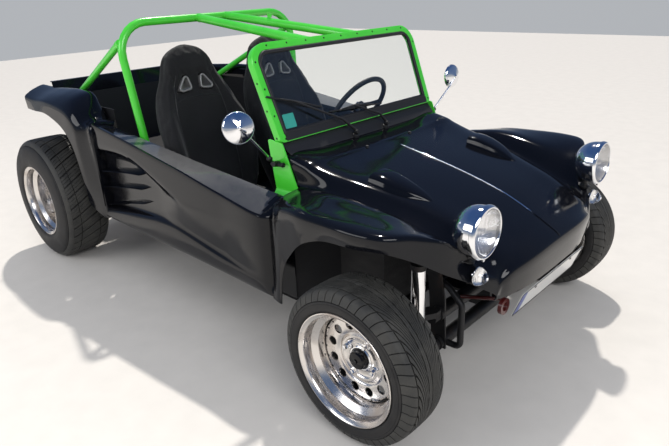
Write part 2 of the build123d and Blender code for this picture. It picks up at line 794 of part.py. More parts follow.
def knuckle():
    pin_low = axle_z - knuckle_half - eye_height - 6
    pin_length = 2 * (knuckle_half + eye_height + 6)
    body = disc((front_axle_x, steer_pin_y, pin_low), (0, 0, 1), steer_pin_radius, pin_length)
    body += disc(
        (front_axle_x, steer_pin_y, axle_z - knuckle_half + fit_gap),
        (0, 0, 1),
        20,
        2 * (knuckle_half - fit_gap),
    )
    spindle_end = front_track_half + front_disc_y + 6
    body += disc(
        (front_axle_x, steer_pin_y, axle_z), (0, 1, 0), spindle_radius, spindle_end - steer_pin_y
    )
    body += disc((front_axle_x, steer_pin_y, axle_z), (0, 1, 0), 26, 32)
    body += disc((front_axle_x, steer_pin_y + 36, axle_z), (0, 1, 0), 104, 3)
    body += disc((front_axle_x, steer_pin_y + 28, axle_z), (0, 1, 0), 48, 9)
    arm = [
        (front_axle_x + 4, steer_pin_y - 14),
        (front_axle_x - 4, steer_pin_y + 14),
        (arm_end[0] - 12, arm_end[1] + 12),
        (arm_end[0] - 12, arm_end[1] - 12),
    ]
    body += Pos(0, 0, arm_end[2] - 6) * extrude(make_face(Polyline(*arm, close=True)), 12)
    return body


save(knuckle(), "knuckle_left")
save(other_side(knuckle()), "knuckle_right")

# Front axle: twin transverse tubes, trailing arms with kingpin eyes, damper towers
beam_x = front_axle_x + 95
beam_radius = 27
beam_half = 430
beam_low_z = axle_z - 62
beam_high_z = axle_z + 62
eye_low_z = axle_z - knuckle_half - eye_height
eye_high_z = axle_z + knuckle_half


damper_foot = (front_axle_x + 102, 557)
damper_top = (front_axle_x + 98, 551)
damper_top_z = 582


def front_axle():
    body = disc((beam_x, -beam_half, beam_low_z), (0, 1, 0), beam_radius, 2 * beam_half)
    body += disc((beam_x, -beam_half, beam_high_z), (0, 1, 0), beam_radius, 2 * beam_half)
    for side in (-1, 1):
        tower = [
            (beam_x - 30, beam_low_z - 20),
            (beam_x + 30, beam_low_z - 20),
            (beam_x + 22, beam_high_z + 60),
            (beam_x - 16, beam_high_z + 252),
            (beam_x - 60, beam_high_z + 252),
            (beam_x - 40, beam_high_z),
        ]
        face = make_face(Polyline(*tower, close=True))
        body += extrude(side_plane(side * (beam_half - 20) + 4) * face, 8)
        body += bar(
            (beam_x - 40, side * (beam_half - 18), damper_top_z + 10),
            (damper_top[0], side * damper_top[1], damper_top_z + 10),
            9.5,
        )
        body += disc((damper_top[0], side * damper_top[1], damper_top_z), (0, 0, 1), 26, 20)
        body += disc((damper_foot[0], side * damper_foot[1], eye_low_z), (0, 0, 1), 24, eye_height)
        body += bar((front_axle_x + 45, side * 536, eye_low_z + 11), (damper_foot[0], side * damper_foot[1], eye_low_z + 11), 8)
        for z, eye_z in ((beam_low_z, eye_low_z), (beam_high_z, eye_high_z)):
            body += disc((beam_x, side * beam_half, z), (0, side, 0), 22, 36)
            arm = [
                (beam_x + 22, side * (beam_half + 6)),
                (beam_x - 22, side * (beam_half + 6)),
                (front_axle_x - 16, side * (steer_pin_y - 10)),
                (front_axle_x + 16, side * (steer_pin_y + 4)),
                (beam_x + 22, side * (beam_half + 36)),
            ]
            blade = extrude(make_face(Polyline(*arm, close=True)), eye_height)
            body += Pos(0, 0, eye_z) * blade
            body += disc((front_axle_x, side * steer_pin_y, eye_z), (0, 0, 1), eye_radius, eye_height)
        for z in (eye_low_z, eye_high_z):
            body -= disc(
                (front_axle_x, side * steer_pin_y, z - 1),
                (0, 0, 1),
                steer_pin_radius + running_gap,
                eye_height + 2,
            )
    for end in (-1, 1):
        neck = Pos(beam_x - 40, end * 60, axle_z) * Box(110, 16, 150)
        body += neck
    return body


save(front_axle(), "front_axle")
damper_parts = []
for side in (-1, 1):
    low = (damper_foot[0], side * damper_foot[1], eye_low_z + eye_height + 0.8)
    high = (damper_top[0], side * damper_top[1], damper_top_z - 0.9)
    lower = bar(low, [low[i] + (high[i] - low[i]) * 0.55 for i in range(3)], 19)
    upper = bar([low[i] + (high[i] - low[i]) * 0.4 for i in range(3)], high, 25)
    damper_parts.append(lower + upper)
save(damper_parts, "front_dampers")

# Track rods: one rod from arm to arm over the knuckle arms, sliding in the steering box's guide
rod_z = arm_end[2] + 6 + fit_gap
rod_radius = 9
guide_y = 270
rod_line = rod_z + 22
rods = disc((arm_end[0], -arm_end[1], rod_line), (0, 1, 0), rod_radius, 2 * arm_end[1])
for side in (-1, 1):
    rods += disc((arm_end[0], side * arm_end[1], rod_z), (0, 0, 1), 14, 34)
save(rods, "track_rods")
box_body = Pos(arm_end[0], guide_y, rod_line) * Box(56, 150, 50)
box_body -= disc((arm_end[0], guide_y - 90, rod_line), (0, 1, 0), rod_radius + running_gap, 180)
box_body += Pos(arm_end[0] + 20, guide_y, rod_line + 42) * Box(96, 80, 60)
box_body += Pos(arm_end[0], guide_y, beam_high_z) * Box(
    beam_x - beam_radius - fit_gap - arm_end[0], 60, 24, align=(Align.MIN, Align.CENTER, Align.CENTER)
)
box_body += bar(along_column(900), along_column(975), 26)
box_body -= bar(along_column(880), along_column(950 + fit_gap), column_radius + fit_gap)
save(box_body, "steering_box")

# Front guard: two bent tubes from the axle beam up to the nose, and a towing eye
guard_parts = []
for side in (-1, 1):
    y = side * (beam_half - 24 - 12 - fit_gap)
    line = [
        (beam_x + beam_radius + fit_gap, y, beam_low_z),
        (beam_x + 80, y, beam_low_z),
        (beam_x + 81, y, 400),
        (beam_x + 25, y, 455),
        (beam_x - 80, y, 498),
    ]
    guard_parts.append(tube(line, 12, 24))
save(guard_parts, "front_guard")
tow_eye_y = -292
tow_eye_x = nose_x - 71
tow_eye_z = 392
tow_eye_radius = 17
tow_eye_thick = 14
tow_eye = disc((tow_eye_x, tow_eye_y, tow_eye_z), (1, 0, 0), 31, tow_eye_thick)
tow_eye -= disc((tow_eye_x - 1, tow_eye_y, tow_eye_z), (1, 0, 0), tow_eye_radius, tow_eye_thick + 2)
tow_eye += bar((beam_x + 15, tow_eye_y, beam_high_z + 20), (tow_eye_x + 7, tow_eye_y, tow_eye_z + 28), 7)
tow_eye -= disc((beam_x, -400, beam_high_z), (0, 1, 0), beam_radius + fit_gap, 300)
save(tow_eye, "tow_eye")

# Lamps
lamp_line = [(0, 0), (0, 85), (-12, 88), (-22, 85), (-40, 84), (-70, 74), (-95, 52), (-112, 0)]
lamp_shells, lenses, indicator_parts, mirror_parts = [], [], [], []
for side in (-1, 1):
    centre = (lamp_x, side * lamp_y, lamp_z)
    bowl = turned([(-14, 0), (-14, 78), (-2, 80), (0, 85)] + lamp_line[2:], centre, (1, 0, 0), (0, 1, 0))
    bowl += bar((lamp_x - 58, side * lamp_y, lamp_z - 60), (lamp_x - 62, side * lamp_y, 635), 9)
    lamp_shells.append(bowl)
    lenses.append(
        turned([(-14 + fit_gap, 0), (-14 + fit_gap, 77), (-1, 78), (6, 60), (11, 30), (12, 0)], centre, (1, 0, 0), (0, 1, 0))
    )
    spot = (front_axle_x + 257.8, side * 472, 581)
    indicator_parts.append(
        turned([(0, 0), (0, 8), (10, 8), (12, 27), (20, 30), (26, 27), (42, 13), (46, 0)], spot, (1, 0, 0), (0, 1, 0))
    )
    disc_at = (screen_bottom_x - 7, side * 705, 997)
    shell = turned([(0, 0), (0, 57), (-6, 58), (-16, 48), (-26, 20), (-28, 0)], disc_at, (-1, 0, 0), (0, 1, 0))
    shell += bar((screen_bottom_x + 3, side * 700, 985), (screen_bottom_x - 3, side * 518, 860), 6)
    shell += disc((screen_bottom_x - 3, side * (screen_bottom_half + 5 + panel_gap), 860), (0, side, 0), 12, 9)
    mirror_parts.append(shell)
save(lamp_shells, "headlamp_shells")
save(lenses, "headlamp_lenses")
save(indicator_parts, "indicators")
save(mirror_parts, "mirrors")
plate = Plane(origin=(nose_x - 10, 0, 442), x_dir=(0, 1, 0), z_dir=(cos(radians(20)), 0, -sin(radians(20))))
plate_tab = [(-11.4, 500), (-14.3, 457), (-14, 438), (-19, 438), (-18, 457), (-15, 500)]
plate_tab = [(nose_x + x, z) for x, z in plate_tab]
number_plate = extrude(plate * Pos(0, -55) * Rectangle(520, 110), -3)
number_plate += extrude(side_plane(20) * make_face(Polyline(*plate_tab, close=True)), 40)
save(number_plate, "number_plate")

# Rear axle: gearbox, axle tubes, torsion tube, spring plates and dampers
gearbox_line = [(220, 270), (300, 330), (220, 420), (-40, 450), (-150, 500), (-150, 240), (0, 250)]
gearbox_line = [(rear_axle_x + x, z) for x, z in gearbox_line]
transaxle = extrude(side_plane(95) * make_face(Polyline(*gearbox_line, close=True)), 190)
rear_hub_in = rear_track_half - 100 - 6
transaxle += disc((rear_axle_x, -rear_hub_in, rear_tyre_radius), (0, 1, 0), 30, 2 * rear_hub_in)
transaxle += disc(
    (rear_axle_x, -rear_track_half + 8, rear_tyre_radius), (0, 1, 0), spindle_radius, 2 * rear_track_half - 16
)
save(transaxle, "transaxle")
spring_top_z = rear_tyre_radius + 195.1
rear_springs = disc((torsion_x, -455, torsion_z), (0, 1, 0), torsion_radius, 910)
for side in (-1, 1):
    plate_front_x = torsion_x + 40
    plate_line = [
        (plate_front_x, torsion_z - 50),
        (plate_front_x, torsion_z + 50),
        (rear_axle_x + 50, rear_tyre_radius + 44.5),
        (rear_axle_x - 50, rear_tyre_radius + 34.5),
        (rear_axle_x - 50, rear_tyre_radius - 35.5),
        (rear_axle_x + 50, rear_tyre_radius - 45.5),
    ]
    rear_springs += extrude(
        side_plane(side * 470 + 4) * make_face(Polyline(*plate_line, close=True)), 8
    )
    rear_springs += disc((torsion_x, side * 440, torsion_z), (0, side, 0), 40, 30)
    spring_foot = (rear_axle_x + 20, side * 497.5, rear_tyre_radius + 40.5)
    rear_springs += bar(spring_foot, (rear_axle_x + 80, side * 497.5, spring_top_z), 24)
rear_springs -= disc((rear_axle_x, -700, rear_tyre_radius), (0, 1, 0), 30 + fit_gap, 1400)
rear_springs -= extrude(side_plane(95 + fit_gap) * make_face(Polyline(*gearbox_line, close=True)), 190 + 2 * fit_gap)
save(rear_springs, "rear_suspension")

# Engine: flat four with finned cylinders, heads and covers, cooling shroud, generator and pulleys, open to view
case_x = rear_axle_x - 150 - fit_gap
case_length = 290
crank_z = 345
case_half = 128
case_line = [(-95, 240), (95, 240), (case_half, 290), (case_half, 400), (80, 435), (-80, 435), (-case_half, 400), (-case_half, 290)]
barrel_rows = [case_x - 75, case_x - 215]
barrel_radius = 46
fin_radius = 58
fin_count = 5
fin_pitch = 24
head_half = 262
cover_half = 332
engine = extrude(cross_plane(case_x) * make_face(Polyline(*case_line, close=True)), -case_length)
barrel_line = [(case_half - 12, 0), (case_half - 12, barrel_radius)]
for fin in range(fin_count):
    fin_y = case_half + 14 + fin * fin_pitch
    barrel_line += [(fin_y, barrel_radius), (fin_y, fin_radius), (fin_y + 7, fin_radius), (fin_y + 7, barrel_radius)]
barrel_line += [(head_half + 10, barrel_radius), (head_half + 10, 0)]
for side in (-1, 1):
    for x in barrel_rows:
        engine += turned(barrel_line, (x, 0, crank_z), (0, side, 0), (1, 0, 0))
    head = Plane(origin=(case_x - 145, side * head_half, crank_z), x_dir=(1, 0, 0), z_dir=(0, side, 0))
    head_face = chamfer((head * Rectangle(290, 120)).vertices(), 22)
    engine += extrude(head_face, cover_half - head_half)
    cover = Plane(origin=(case_x - 145, side * cover_half, crank_z - 4), x_dir=(1, 0, 0), z_dir=(0, side, 0))
    cover_face = fillet((cover * Rectangle(270, 92)).vertices(), 34)
    engine += extrude(cover_face, 40)
case_end = case_x - case_length
pulley_x = case_end - 32
pulley_line = [(-2, 0), (-2, 88), (3, 88), (8, 78), (11, 78), (16, 88), (21, 88), (21, 0)]
engine += bar((case_end + 5, 0, crank_z), (pulley_x, 0, crank_z), 24)
engine += turned(pulley_line, (pulley_x, 0, crank_z), (-1, 0, 0), (0, 1, 0))
generator_z = 615
generator_radius = 50
pedestal = [(-36, 430), (36, 430), (22, generator_z - 30), (-22, generator_z - 30)]
engine += extrude(cross_plane(case_end + 62) * make_face(Polyline(*pedestal, close=True)), -44)
shroud_front_x = case_x - 75
shroud_depth = 140
shroud_back_x = shroud_front_x - shroud_depth
engine += bar((shroud_back_x - fit_gap, 0, generator_z), (pulley_x + 12, 0, generator_z), generator_radius)
engine += bar((pulley_x + 13, 0, generator_z), (pulley_x, 0, generator_z), 14)
small_pulley = [(along, radius * 0.66) for along, radius in pulley_line]
engine += turned(small_pulley, (pulley_x, 0, generator_z), (-1, 0, 0), (0, 1, 0))
manifold_x = case_end - 14
engine += tube(
    [(manifold_x, -300, 380), (manifold_x, -300, 480), (manifold_x, 300, 480), (manifold_x, 300, 380)], 12, 50
)
carb = (manifold_x + 4, -105)
engine += disc((carb[0], carb[1], 478), (0, 0, 1), 22, 110)
engine += disc((carb[0], carb[1], 580), (0, 0, 1), 62, 62)
save(engine, "engine")
shroud_low_z = 435 + fit_gap
shroud_line = [(-330, shroud_low_z), (330, shroud_low_z), (330, 520), (190, 640), (150, 760), (-150, 760), (-190, 640), (-330, 520)]
shroud_face = make_face(Polyline(*shroud_line, close=True)) + Pos(0, generator_z) * Circle(generator_z - shroud_low_z)
shroud = extrude(cross_plane(shroud_front_x) * shroud_face, -shroud_depth)
shroud -= disc((shroud_front_x + 1, 0, generator_z), (-1, 0, 0), 118, 31)
shroud += disc((shroud_front_x - 31, 0, generator_z), (1, 0, 0), 36, 24)
for side in (-1, 1):
    tin = [(case_x, side * case_half + side * fit_gap), (case_x, side * 340), (case_end, side * 340), (case_end, side * case_half + side * fit_gap)]
    shroud += Pos(0, 0, crank_z + 60 + fit_gap) * extrude(make_face(Polyline(*tin, close=True)), 3)
    shroud += Pos(shroud_front_x - shroud_depth / 2, side * 230, crank_z + 61) * Box(shroud_depth - 20, 180, 50, align=(Align.CENTER, Align.CENTER, Align.MIN))
save(shroud, "fan_shroud")

# Exhaust: a cross drum with domed ends, two head pipes and two tail pipes
muffler = (case_end - 150, 300)
muffler_radius = 62
muffler_half = 330
dome = 22
muffler_line = [
    (-muffler_half, 0),
    (-muffler_half, muffler_radius - 30),
    (-muffler_half + dome, muffler_radius),
    (muffler_half - dome, muffler_radius),
    (muffler_half, muffler_radius - 30),
    (muffler_half, 0),
]
exhaust = turned(muffler_line, (muffler[0], 0, muffler[1]), (0, 1, 0), (1, 0, 0))
for side in (-1, 1):
    exhaust += bar((muffler[0], side * 120, muffler[1] - 10), (tail_x, side * 120, muffler[1] - 25), 20)
    exhaust += tube(
        [
            (muffler[0] + 40, side * 270, muffler[1]),
            (muffler[0] + 100, side * 297, muffler[1] + 15),
            (case_end - fit_gap, side * 297, muffler[1] + 15),
        ],
        18,
        20,
    )
save(exhaust, "exhaust")

tail_lamp_z = 905
tail_lamp_x = back_low_x - back_lean * (tail_lamp_z - back_low_z) - panel_gap
tail_lamps = [disc((tail_lamp_x, side * 450, tail_lamp_z), (-1, 0, -back_lean), 38, 30) for side in (-1, 1)]
save(tail_lamps, "tail_lamps")
tunnel_top_z = floor_bottom_z + floor_wall - 1 + tunnel_height
lever_x = front_axle_x - 870
lever = disc((lever_x, 0, tunnel_top_z + fit_gap), (0, 0, 1), 30, 14)
lever += bar((lever_x, 0, tunnel_top_z + 10), (lever_x - 80, 0, 640), 8) + Pos(lever_x - 80, 0, 645) * Sphere(22)
save(lever, "gear_lever")
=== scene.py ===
# %% [markdown]
# # An open dune buggy
#
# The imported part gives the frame: every rigid node, its body and its joints, in metres, with the ground at
# z = 0, +X towards the nose and +Y to the car's left. This file dresses it. A piece that stands for a node
# replaces it, and everything rides on the body it belongs to, so that the wheels still roll and steer.

from math import cos, degrees, hypot, pi, radians, sin, tan

import bmesh
import bpy
import numpy as np
from mathutils import Matrix, Vector
from mathutils.bvhtree import BVHTree


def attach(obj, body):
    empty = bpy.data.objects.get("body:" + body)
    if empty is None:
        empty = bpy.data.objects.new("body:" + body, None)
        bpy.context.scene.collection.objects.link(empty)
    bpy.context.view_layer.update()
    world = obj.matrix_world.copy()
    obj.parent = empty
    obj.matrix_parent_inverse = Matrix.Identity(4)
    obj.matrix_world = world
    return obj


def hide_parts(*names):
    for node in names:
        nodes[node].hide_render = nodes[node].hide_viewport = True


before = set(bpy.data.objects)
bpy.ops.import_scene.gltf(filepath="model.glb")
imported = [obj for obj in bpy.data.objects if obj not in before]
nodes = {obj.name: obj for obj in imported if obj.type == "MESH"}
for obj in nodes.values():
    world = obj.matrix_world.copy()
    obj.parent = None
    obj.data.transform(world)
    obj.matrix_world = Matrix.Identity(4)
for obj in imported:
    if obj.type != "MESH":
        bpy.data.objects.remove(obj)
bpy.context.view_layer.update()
SHIFT = 161  # from the midpoint between the axles to the frame's origin, in mm

# %% [markdown]
# ## Shader maths as expressions
#
# A socket is wrapped, so that noise, ramps and mixes can be written as sums and products. Any other node
# comes from one method, which takes its type, its settings and the values or links of its inputs.


# %% Socket wrapper
class Tree:
    def __init__(self, name):
        self.material = bpy.data.materials.new(name)
        self.material.use_nodes = True
        self.nodes = self.material.node_tree.nodes
        self.links = self.material.node_tree.links
        self.shader = self.nodes["Principled BSDF"]

    def add(self, kind, settings=None, output=0, **inputs):
        node = self.nodes.new(kind)
        for key, value in (settings or {}).items():
            setattr(node, key, value)
        for key, value in inputs.items():
            self.put(node.inputs[key.replace("_", " ")], value)
        return Wire(self, node.outputs[output], node)

    def put(self, socket, value):
        if isinstance(value, Wire):
            self.links.new(value.socket, socket)
        else:
            socket.default_value = value

    def maths(self, operation, *values):
        made = self.add("ShaderNodeMath", {"operation": operation})
        for socket, value in zip(made.node.inputs, values):
            self.put(socket, value)
        return made

    def place(self):
        return self.add("ShaderNodeTexCoord", output=3)

    def axes(self):
        split = self.add("ShaderNodeSeparateXYZ", Vector=self.place())
        return [Wire(self, output, split.node) for output in split.node.outputs]

    def noise(self, scale, detail=3.0, vector=None, rough=0.5):
        vector = self.place() if vector is None else vector
        return self.add("ShaderNodeTexNoise", Vector=vector, Scale=scale, Detail=detail, Roughness=rough)

    def stretch(self, x, y, z):
        return self.add("ShaderNodeMapping", Vector=self.place(), Scale=(x, y, z))

    def mix(self, share, low, high):
        made = self.add("ShaderNodeMix", {"data_type": "RGBA"}, 2)
        for socket, value in ((0, share), (6, low), (7, high)):
            self.put(made.node.inputs[socket], value)
        return made

    def ramp(self, value, low, high, start=0.0, end=1.0):
        ends = {"From_Min": low, "From_Max": high, "To_Min": start, "To_Max": end}
        return self.add("ShaderNodeMapRange", Value=value, **ends)

    def bump(self, height, strength=0.3, distance=0.001):
        return self.add("ShaderNodeBump", Height=height, Strength=strength, Distance=distance)

    def finish(self, **values):
        for key, value in values.items():
            self.put(self.shader.inputs[key.replace("_", " ")], value)
        return self.material


class Wire:
    def __init__(self, tree, socket, node):
        self.tree, self.socket, self.node = tree, socket, node

    def __add__(self, other):
        return self.tree.maths("ADD", self, other)

    def __radd__(self, other):
        return self.tree.maths("ADD", other, self)

    def __sub__(self, other):
        return self.tree.maths("SUBTRACT", self, other)

    def __rsub__(self, other):
        return self.tree.maths("SUBTRACT", other, self)

    def __mul__(self, other):
        return self.tree.maths("MULTIPLY", self, other)

    def __rmul__(self, other):
        return self.tree.maths("MULTIPLY", other, self)


def colour(r, g, b):
    return (r, g, b, 1.0)


# %% [markdown]
# ## Paints and mouldings
#
# The body is gloss black gel coat: nearly no colour of its own, so what it reflects is what one sees. A low
# reflectance keeps it black, with a faint orange-peel bump and a breath of dust in the roughness. Most other
# finishes wander between two colours with one noise, which also moves the roughness, over a finer bump.


# %% Body and cage paint
def gloss_black():
    tree = Tree("gloss_black_gel_coat")
    peel = tree.noise(260.0, 2.0)
    dust = tree.noise(3.5, 5.0, rough=0.65)
    grime = tree.ramp(tree.axes()[2], 0.75, 0.25) * tree.ramp(dust, 0.42, 0.7)
    return tree.finish(
        Base_Color=tree.mix(grime * 0.15, colour(0.004, 0.0045, 0.0065), colour(0.045, 0.036, 0.03)),
        Roughness=tree.ramp(dust, 0.3, 0.75, 0.05, 0.13) + grime * 0.15,
        Specular_IOR_Level=0.28,
        Normal=tree.bump(peel, 0.06, 0.0006),
    )


def two_tone(name, deep, light, cloud, blend, rough, grain, bump, **more):
    """A finish between two colours. Cloud and grain are noises, blend and rough are ramps of the cloud."""
    tree = Tree(name)
    patches = tree.noise(*cloud[:2], rough=cloud[2])
    return tree.finish(
        Base_Color=tree.mix(tree.ramp(patches, *blend), colour(*deep), colour(*light)),
        Roughness=tree.ramp(patches, *rough),
        Normal=tree.bump(tree.noise(*grain), *bump),
        **more,
    )


def rough_black_moulding(name="rough_black_moulding"):
    tree = Tree(name)
    grain = tree.noise(140.0, 5.0)
    strands = tree.noise(18.0, 6.0, tree.stretch(1.0, 1.0, 3.0), 0.7)
    return tree.finish(
        Base_Color=tree.mix(strands, colour(0.004, 0.004, 0.005), colour(0.013, 0.013, 0.015)),
        Roughness=tree.ramp(strands, 0.3, 0.7, 0.46, 0.66),
        Specular_IOR_Level=0.35,
        Normal=tree.bump(grain + strands * 1.5, 0.35, 0.0012),
    )


def satin_black_metal(name="satin_black_metal", rust=0.25):
    tree = Tree(name)
    grain = tree.noise(90.0, 4.0)
    patches = tree.noise(14.0, 6.0, rough=0.7)
    worn = tree.ramp(patches, 0.56, 0.74) * rust
    return tree.finish(
        Base_Color=tree.mix(worn, colour(0.010, 0.010, 0.011), colour(0.11, 0.055, 0.03)),
        Roughness=tree.ramp(patches, 0.3, 0.7, 0.36, 0.6) + worn * 0.4,
        Metallic=0.35,
        Normal=tree.bump(grain, 0.18, 0.0008),
    )


print("paints ready")

# %% [markdown]
# ## Bright metal, glass and plastics
#
# Chrome and the polished wheels differ only in how sharp the reflection is: a smudge noise on the roughness
# keeps both from looking like a mirror ball. Glass is smeared, and the lamps' glass has flutes as bump.


# %% Bright metal
def polished_wheel():
    tree = Tree("polished_steel_wheel")
    smudge = tree.noise(16.0, 6.0, rough=0.65)
    dust = tree.ramp(tree.noise(7.0, 5.0), 0.5, 0.75)
    return tree.finish(
        Base_Color=tree.mix(dust, colour(0.72, 0.69, 0.66), colour(0.42, 0.35, 0.30)),
        Metallic=tree.ramp(dust, 0.0, 1.0, 1.0, 0.75),
        Roughness=tree.ramp(smudge, 0.3, 0.75, 0.12, 0.30) + dust * 0.15,
        Normal=tree.bump(tree.noise(130.0, 2.0), 0.05, 0.0005),
    )


# %% Glass and plastics
def clear_glass(name="clear_screen_glass", tint=(0.93, 0.97, 0.96), flutes=0.0):
    tree = Tree(name)
    smear = tree.noise(5.0, 5.0, rough=0.6)
    height = tree.maths("SINE", tree.axes()[1] * flutes) + smear * 0.05
    return tree.finish(
        Base_Color=colour(*tint),
        Transmission_Weight=1.0,
        IOR=1.45,
        Roughness=tree.ramp(smear, 0.45, 0.8, 0.0, 0.05),
        Normal=tree.bump(height, 0.25 if flutes else 0.02, 0.0006),
    )


def coloured_plastic(name, deep, light, roughness=0.2, ribs=0.0):
    tree = Tree(name)
    grain = tree.noise(40.0, 4.0)
    height = tree.maths("SINE", tree.axes()[2] * ribs) + grain * 0.2
    return tree.finish(
        Base_Color=tree.mix(grain, colour(*deep), colour(*light)),
        Roughness=tree.ramp(grain, 0.3, 0.7, roughness, roughness + 0.12),
        Coat_Weight=0.5,
        Normal=tree.bump(height, 0.3 if ribs else 0.05, 0.0008),
    )


# %% [markdown]
# ## Cloth
#
# The seats are black woven cloth. Two crossing waves at the thread's own pitch make the weave as bump, a slow
# noise makes it fade a little, and sheen gives the pale edge that cloth shows at a low angle.


# %% Seat cloth
def seat_cloth():
    tree = Tree("black_woven_cloth")
    x, y, z = tree.axes()
    thread = 2600.0
    weave = tree.maths("SINE", (x + z) * thread) * tree.maths("SINE", (y + z * 0.3) * thread)
    fade = tree.noise(7.0, 5.0)
    fuzz = tree.noise(420.0, 3.0)
    dark, pale = colour(0.0035, 0.0035, 0.004), colour(0.008, 0.008, 0.009)
    return tree.finish(
        Base_Color=tree.mix(tree.ramp(fade, 0.3, 0.7), dark, pale),
        Roughness=tree.ramp(fuzz, 0.3, 0.7, 0.78, 0.95),
        Sheen_Weight=0.10,
        Sheen_Roughness=0.5,
        Normal=tree.bump(weave * 0.5 + fuzz, 0.35, 0.0008),
    )


# %% Make the finishes
def tyre_rubber(name, deep, light):
    return two_tone(
        name, deep, light, (12.0, 6.0, 0.7), (0.42, 0.72), (0.3, 0.7, 0.48, 0.75), (220.0, 3.0),
        (0.25, 0.0007), Specular_IOR_Level=0.4,
    )


black_paint = gloss_black()
lime = two_tone(
    "lime_green_paint", (0.055, 0.60, 0.03), (0.075, 0.68, 0.045), (6.0, 4.0, 0.5), (0.3, 0.7),
    (0.3, 0.7, 0.26, 0.38), (180.0, 2.0), (0.12, 0.0006), Coat_Weight=0.6, Coat_Roughness=0.12,
)
moulding = rough_black_moulding()
chassis_metal = satin_black_metal()
clean_metal = satin_black_metal("clean_black_metal", 0.03)
bright = two_tone(
    "polished_chrome", (0.80, 0.81, 0.83), (0.93, 0.93, 0.94), (22.0, 5.0, 0.6), (0.0, 1.0),
    (0.35, 0.75, 0.03, 0.14), (60.0, 2.0), (0.03, 0.0005), Metallic=1.0,
)
wheel_metal = polished_wheel()
alloy = two_tone(
    "cast_engine_alloy", (0.42, 0.42, 0.43), (0.17, 0.155, 0.14), (11.0, 6.0, 0.7), (0.4, 0.7),
    (0.3, 0.7, 0.38, 0.62), (160.0, 6.0), (0.35, 0.0012), Metallic=0.85,
)
steel = two_tone(
    "heat_stained_steel", (0.46, 0.44, 0.42), (0.26, 0.17, 0.10), (9.0, 6.0, 0.7), (0.35, 0.68),
    (0.3, 0.7, 0.22, 0.5), (120.0, 3.0), (0.15, 0.0007), Metallic=0.9,
)
side_rubber = tyre_rubber("tyre_rubber", (0.008, 0.008, 0.0085), (0.030, 0.028, 0.026))
tread_rubber = tyre_rubber("worn_tread_rubber", (0.030, 0.030, 0.028), (0.058, 0.056, 0.050))
seal_rubber = two_tone(
    "black_seal_rubber", (0.008, 0.008, 0.009), (0.022, 0.022, 0.023), (200.0, 3.0, 0.5), (0.0, 1.0),
    (0.3, 0.7, 0.45, 0.65), (200.0, 3.0), (0.2, 0.0006),
)
screen_glass = clear_glass()
lamp_glass = clear_glass("fluted_lamp_glass", (0.97, 0.97, 0.97), 900.0)
# The tow eye's red is kept very dark: painted shade, for the shadow the eye hangs in, over a red paint.
shade_darkened_red_paint = coloured_plastic("red_towing_paint_darkened_for_shade", (0.055, 0.004, 0.004), (0.08, 0.006, 0.005), 0.42)
red_lens = coloured_plastic("red_tail_lens", (0.42, 0.008, 0.006), (0.55, 0.012, 0.01), 0.12, 700.0)
teal = coloured_plastic("teal_label", (0.02, 0.30, 0.25), (0.03, 0.38, 0.31), 0.5)
plate_white = coloured_plastic("blank_plate_white", (0.60, 0.60, 0.58), (0.70, 0.70, 0.68), 0.3)
plate_blue = coloured_plastic("plate_strip_blue", (0.02, 0.05, 0.26), (0.03, 0.07, 0.33), 0.3)
grip_leather = rough_black_moulding("steering_grip_leather")
rusty_drum = satin_black_metal("rusty_brake_drum", 0.7)
cap_satin = coloured_plastic("sill_cap_satin", (0.016, 0.018, 0.024), (0.018, 0.020, 0.026), 0.42)
cloth = seat_cloth()
seat_piping = coloured_plastic("seat_piping", (0.012, 0.012, 0.012), (0.02, 0.02, 0.02), 0.6)
rim_grey = coloured_plastic("slot_rim_grey", (0.16, 0.16, 0.16), (0.24, 0.24, 0.24), 0.3)
print("finishes", len(bpy.data.materials))

# %% [markdown]
# ## Shapes from outlines
#
# Every helper gives a pair of points, in millimetres from the midpoint between the axles, and faces. A
# smooth line runs through its control points, a sheet is a grid of such lines, and a pipe or a turned shape
# is a ring carried along a path or round an axis. Pairs can be joined before they become one piece.


# %% Smooth lines and sheets
def spline(points, steps, breaks=()):
    """A smooth line through the points, with a corner at each index in breaks."""
    points = np.asarray(points, float)
    last = len(points) - 1
    stops = [0] + sorted(i for i in breaks if 0 < i < last) + [last]
    line = [points[:1]]
    for a, b in zip(stops, stops[1:]):
        part = points[a : b + 1]
        chord = np.sqrt(np.maximum(np.linalg.norm(np.diff(part, axis=0), axis=1), 1e-6))[:, None]
        mid = np.diff(part, axis=0) / chord
        slopes = np.repeat(mid[:1], len(part), axis=0)
        if len(part) > 2:
            slopes[1:-1] = (mid[:-1] * chord[1:] + mid[1:] * chord[:-1]) / (chord[:-1] + chord[1:])
            slopes[0] = 1.5 * mid[0] - 0.5 * slopes[1]
            slopes[-1] = 1.5 * mid[-1] - 0.5 * slopes[-2]
        for k in range(len(part) - 1):
            t = np.linspace(0, 1, steps[a + k] + 1)[1:, None]
            start = (2 * t**3 - 3 * t**2 + 1) * part[k] + (t**3 - 2 * t**2 + t) * chord[k] * slopes[k]
            end = (3 * t**2 - 2 * t**3) * part[k + 1] + (t**3 - t**2) * chord[k] * slopes[k + 1]
            line.append(start + end)
    return np.concatenate(line)


def sheet(rows, along, across, row_breaks={}, column_breaks=(), soften=2):
    """A grid of points through rows of control points: smooth along the car first, then across it."""
    rows = np.asarray(rows, float)
    count = rows.shape[1]
    dense = np.stack([spline(rows[:, j], along, row_breaks.get(j, ())) for j in range(count)], axis=1)
    grid = np.stack([spline(line, across, column_breaks) for line in dense])
    for _ in range(soften):
        grid[:, 1:-1] = grid[:, 1:-1] * 0.5 + (grid[:, :-2] + grid[:, 2:]) * 0.25
    return grid


def grid_normals(grid):
    down, over = np.gradient(grid, axis=0), np.gradient(grid, axis=1)
    normal = np.cross(down, over)
    return normal / np.maximum(np.linalg.norm(normal, axis=2, keepdims=True), 1e-9)


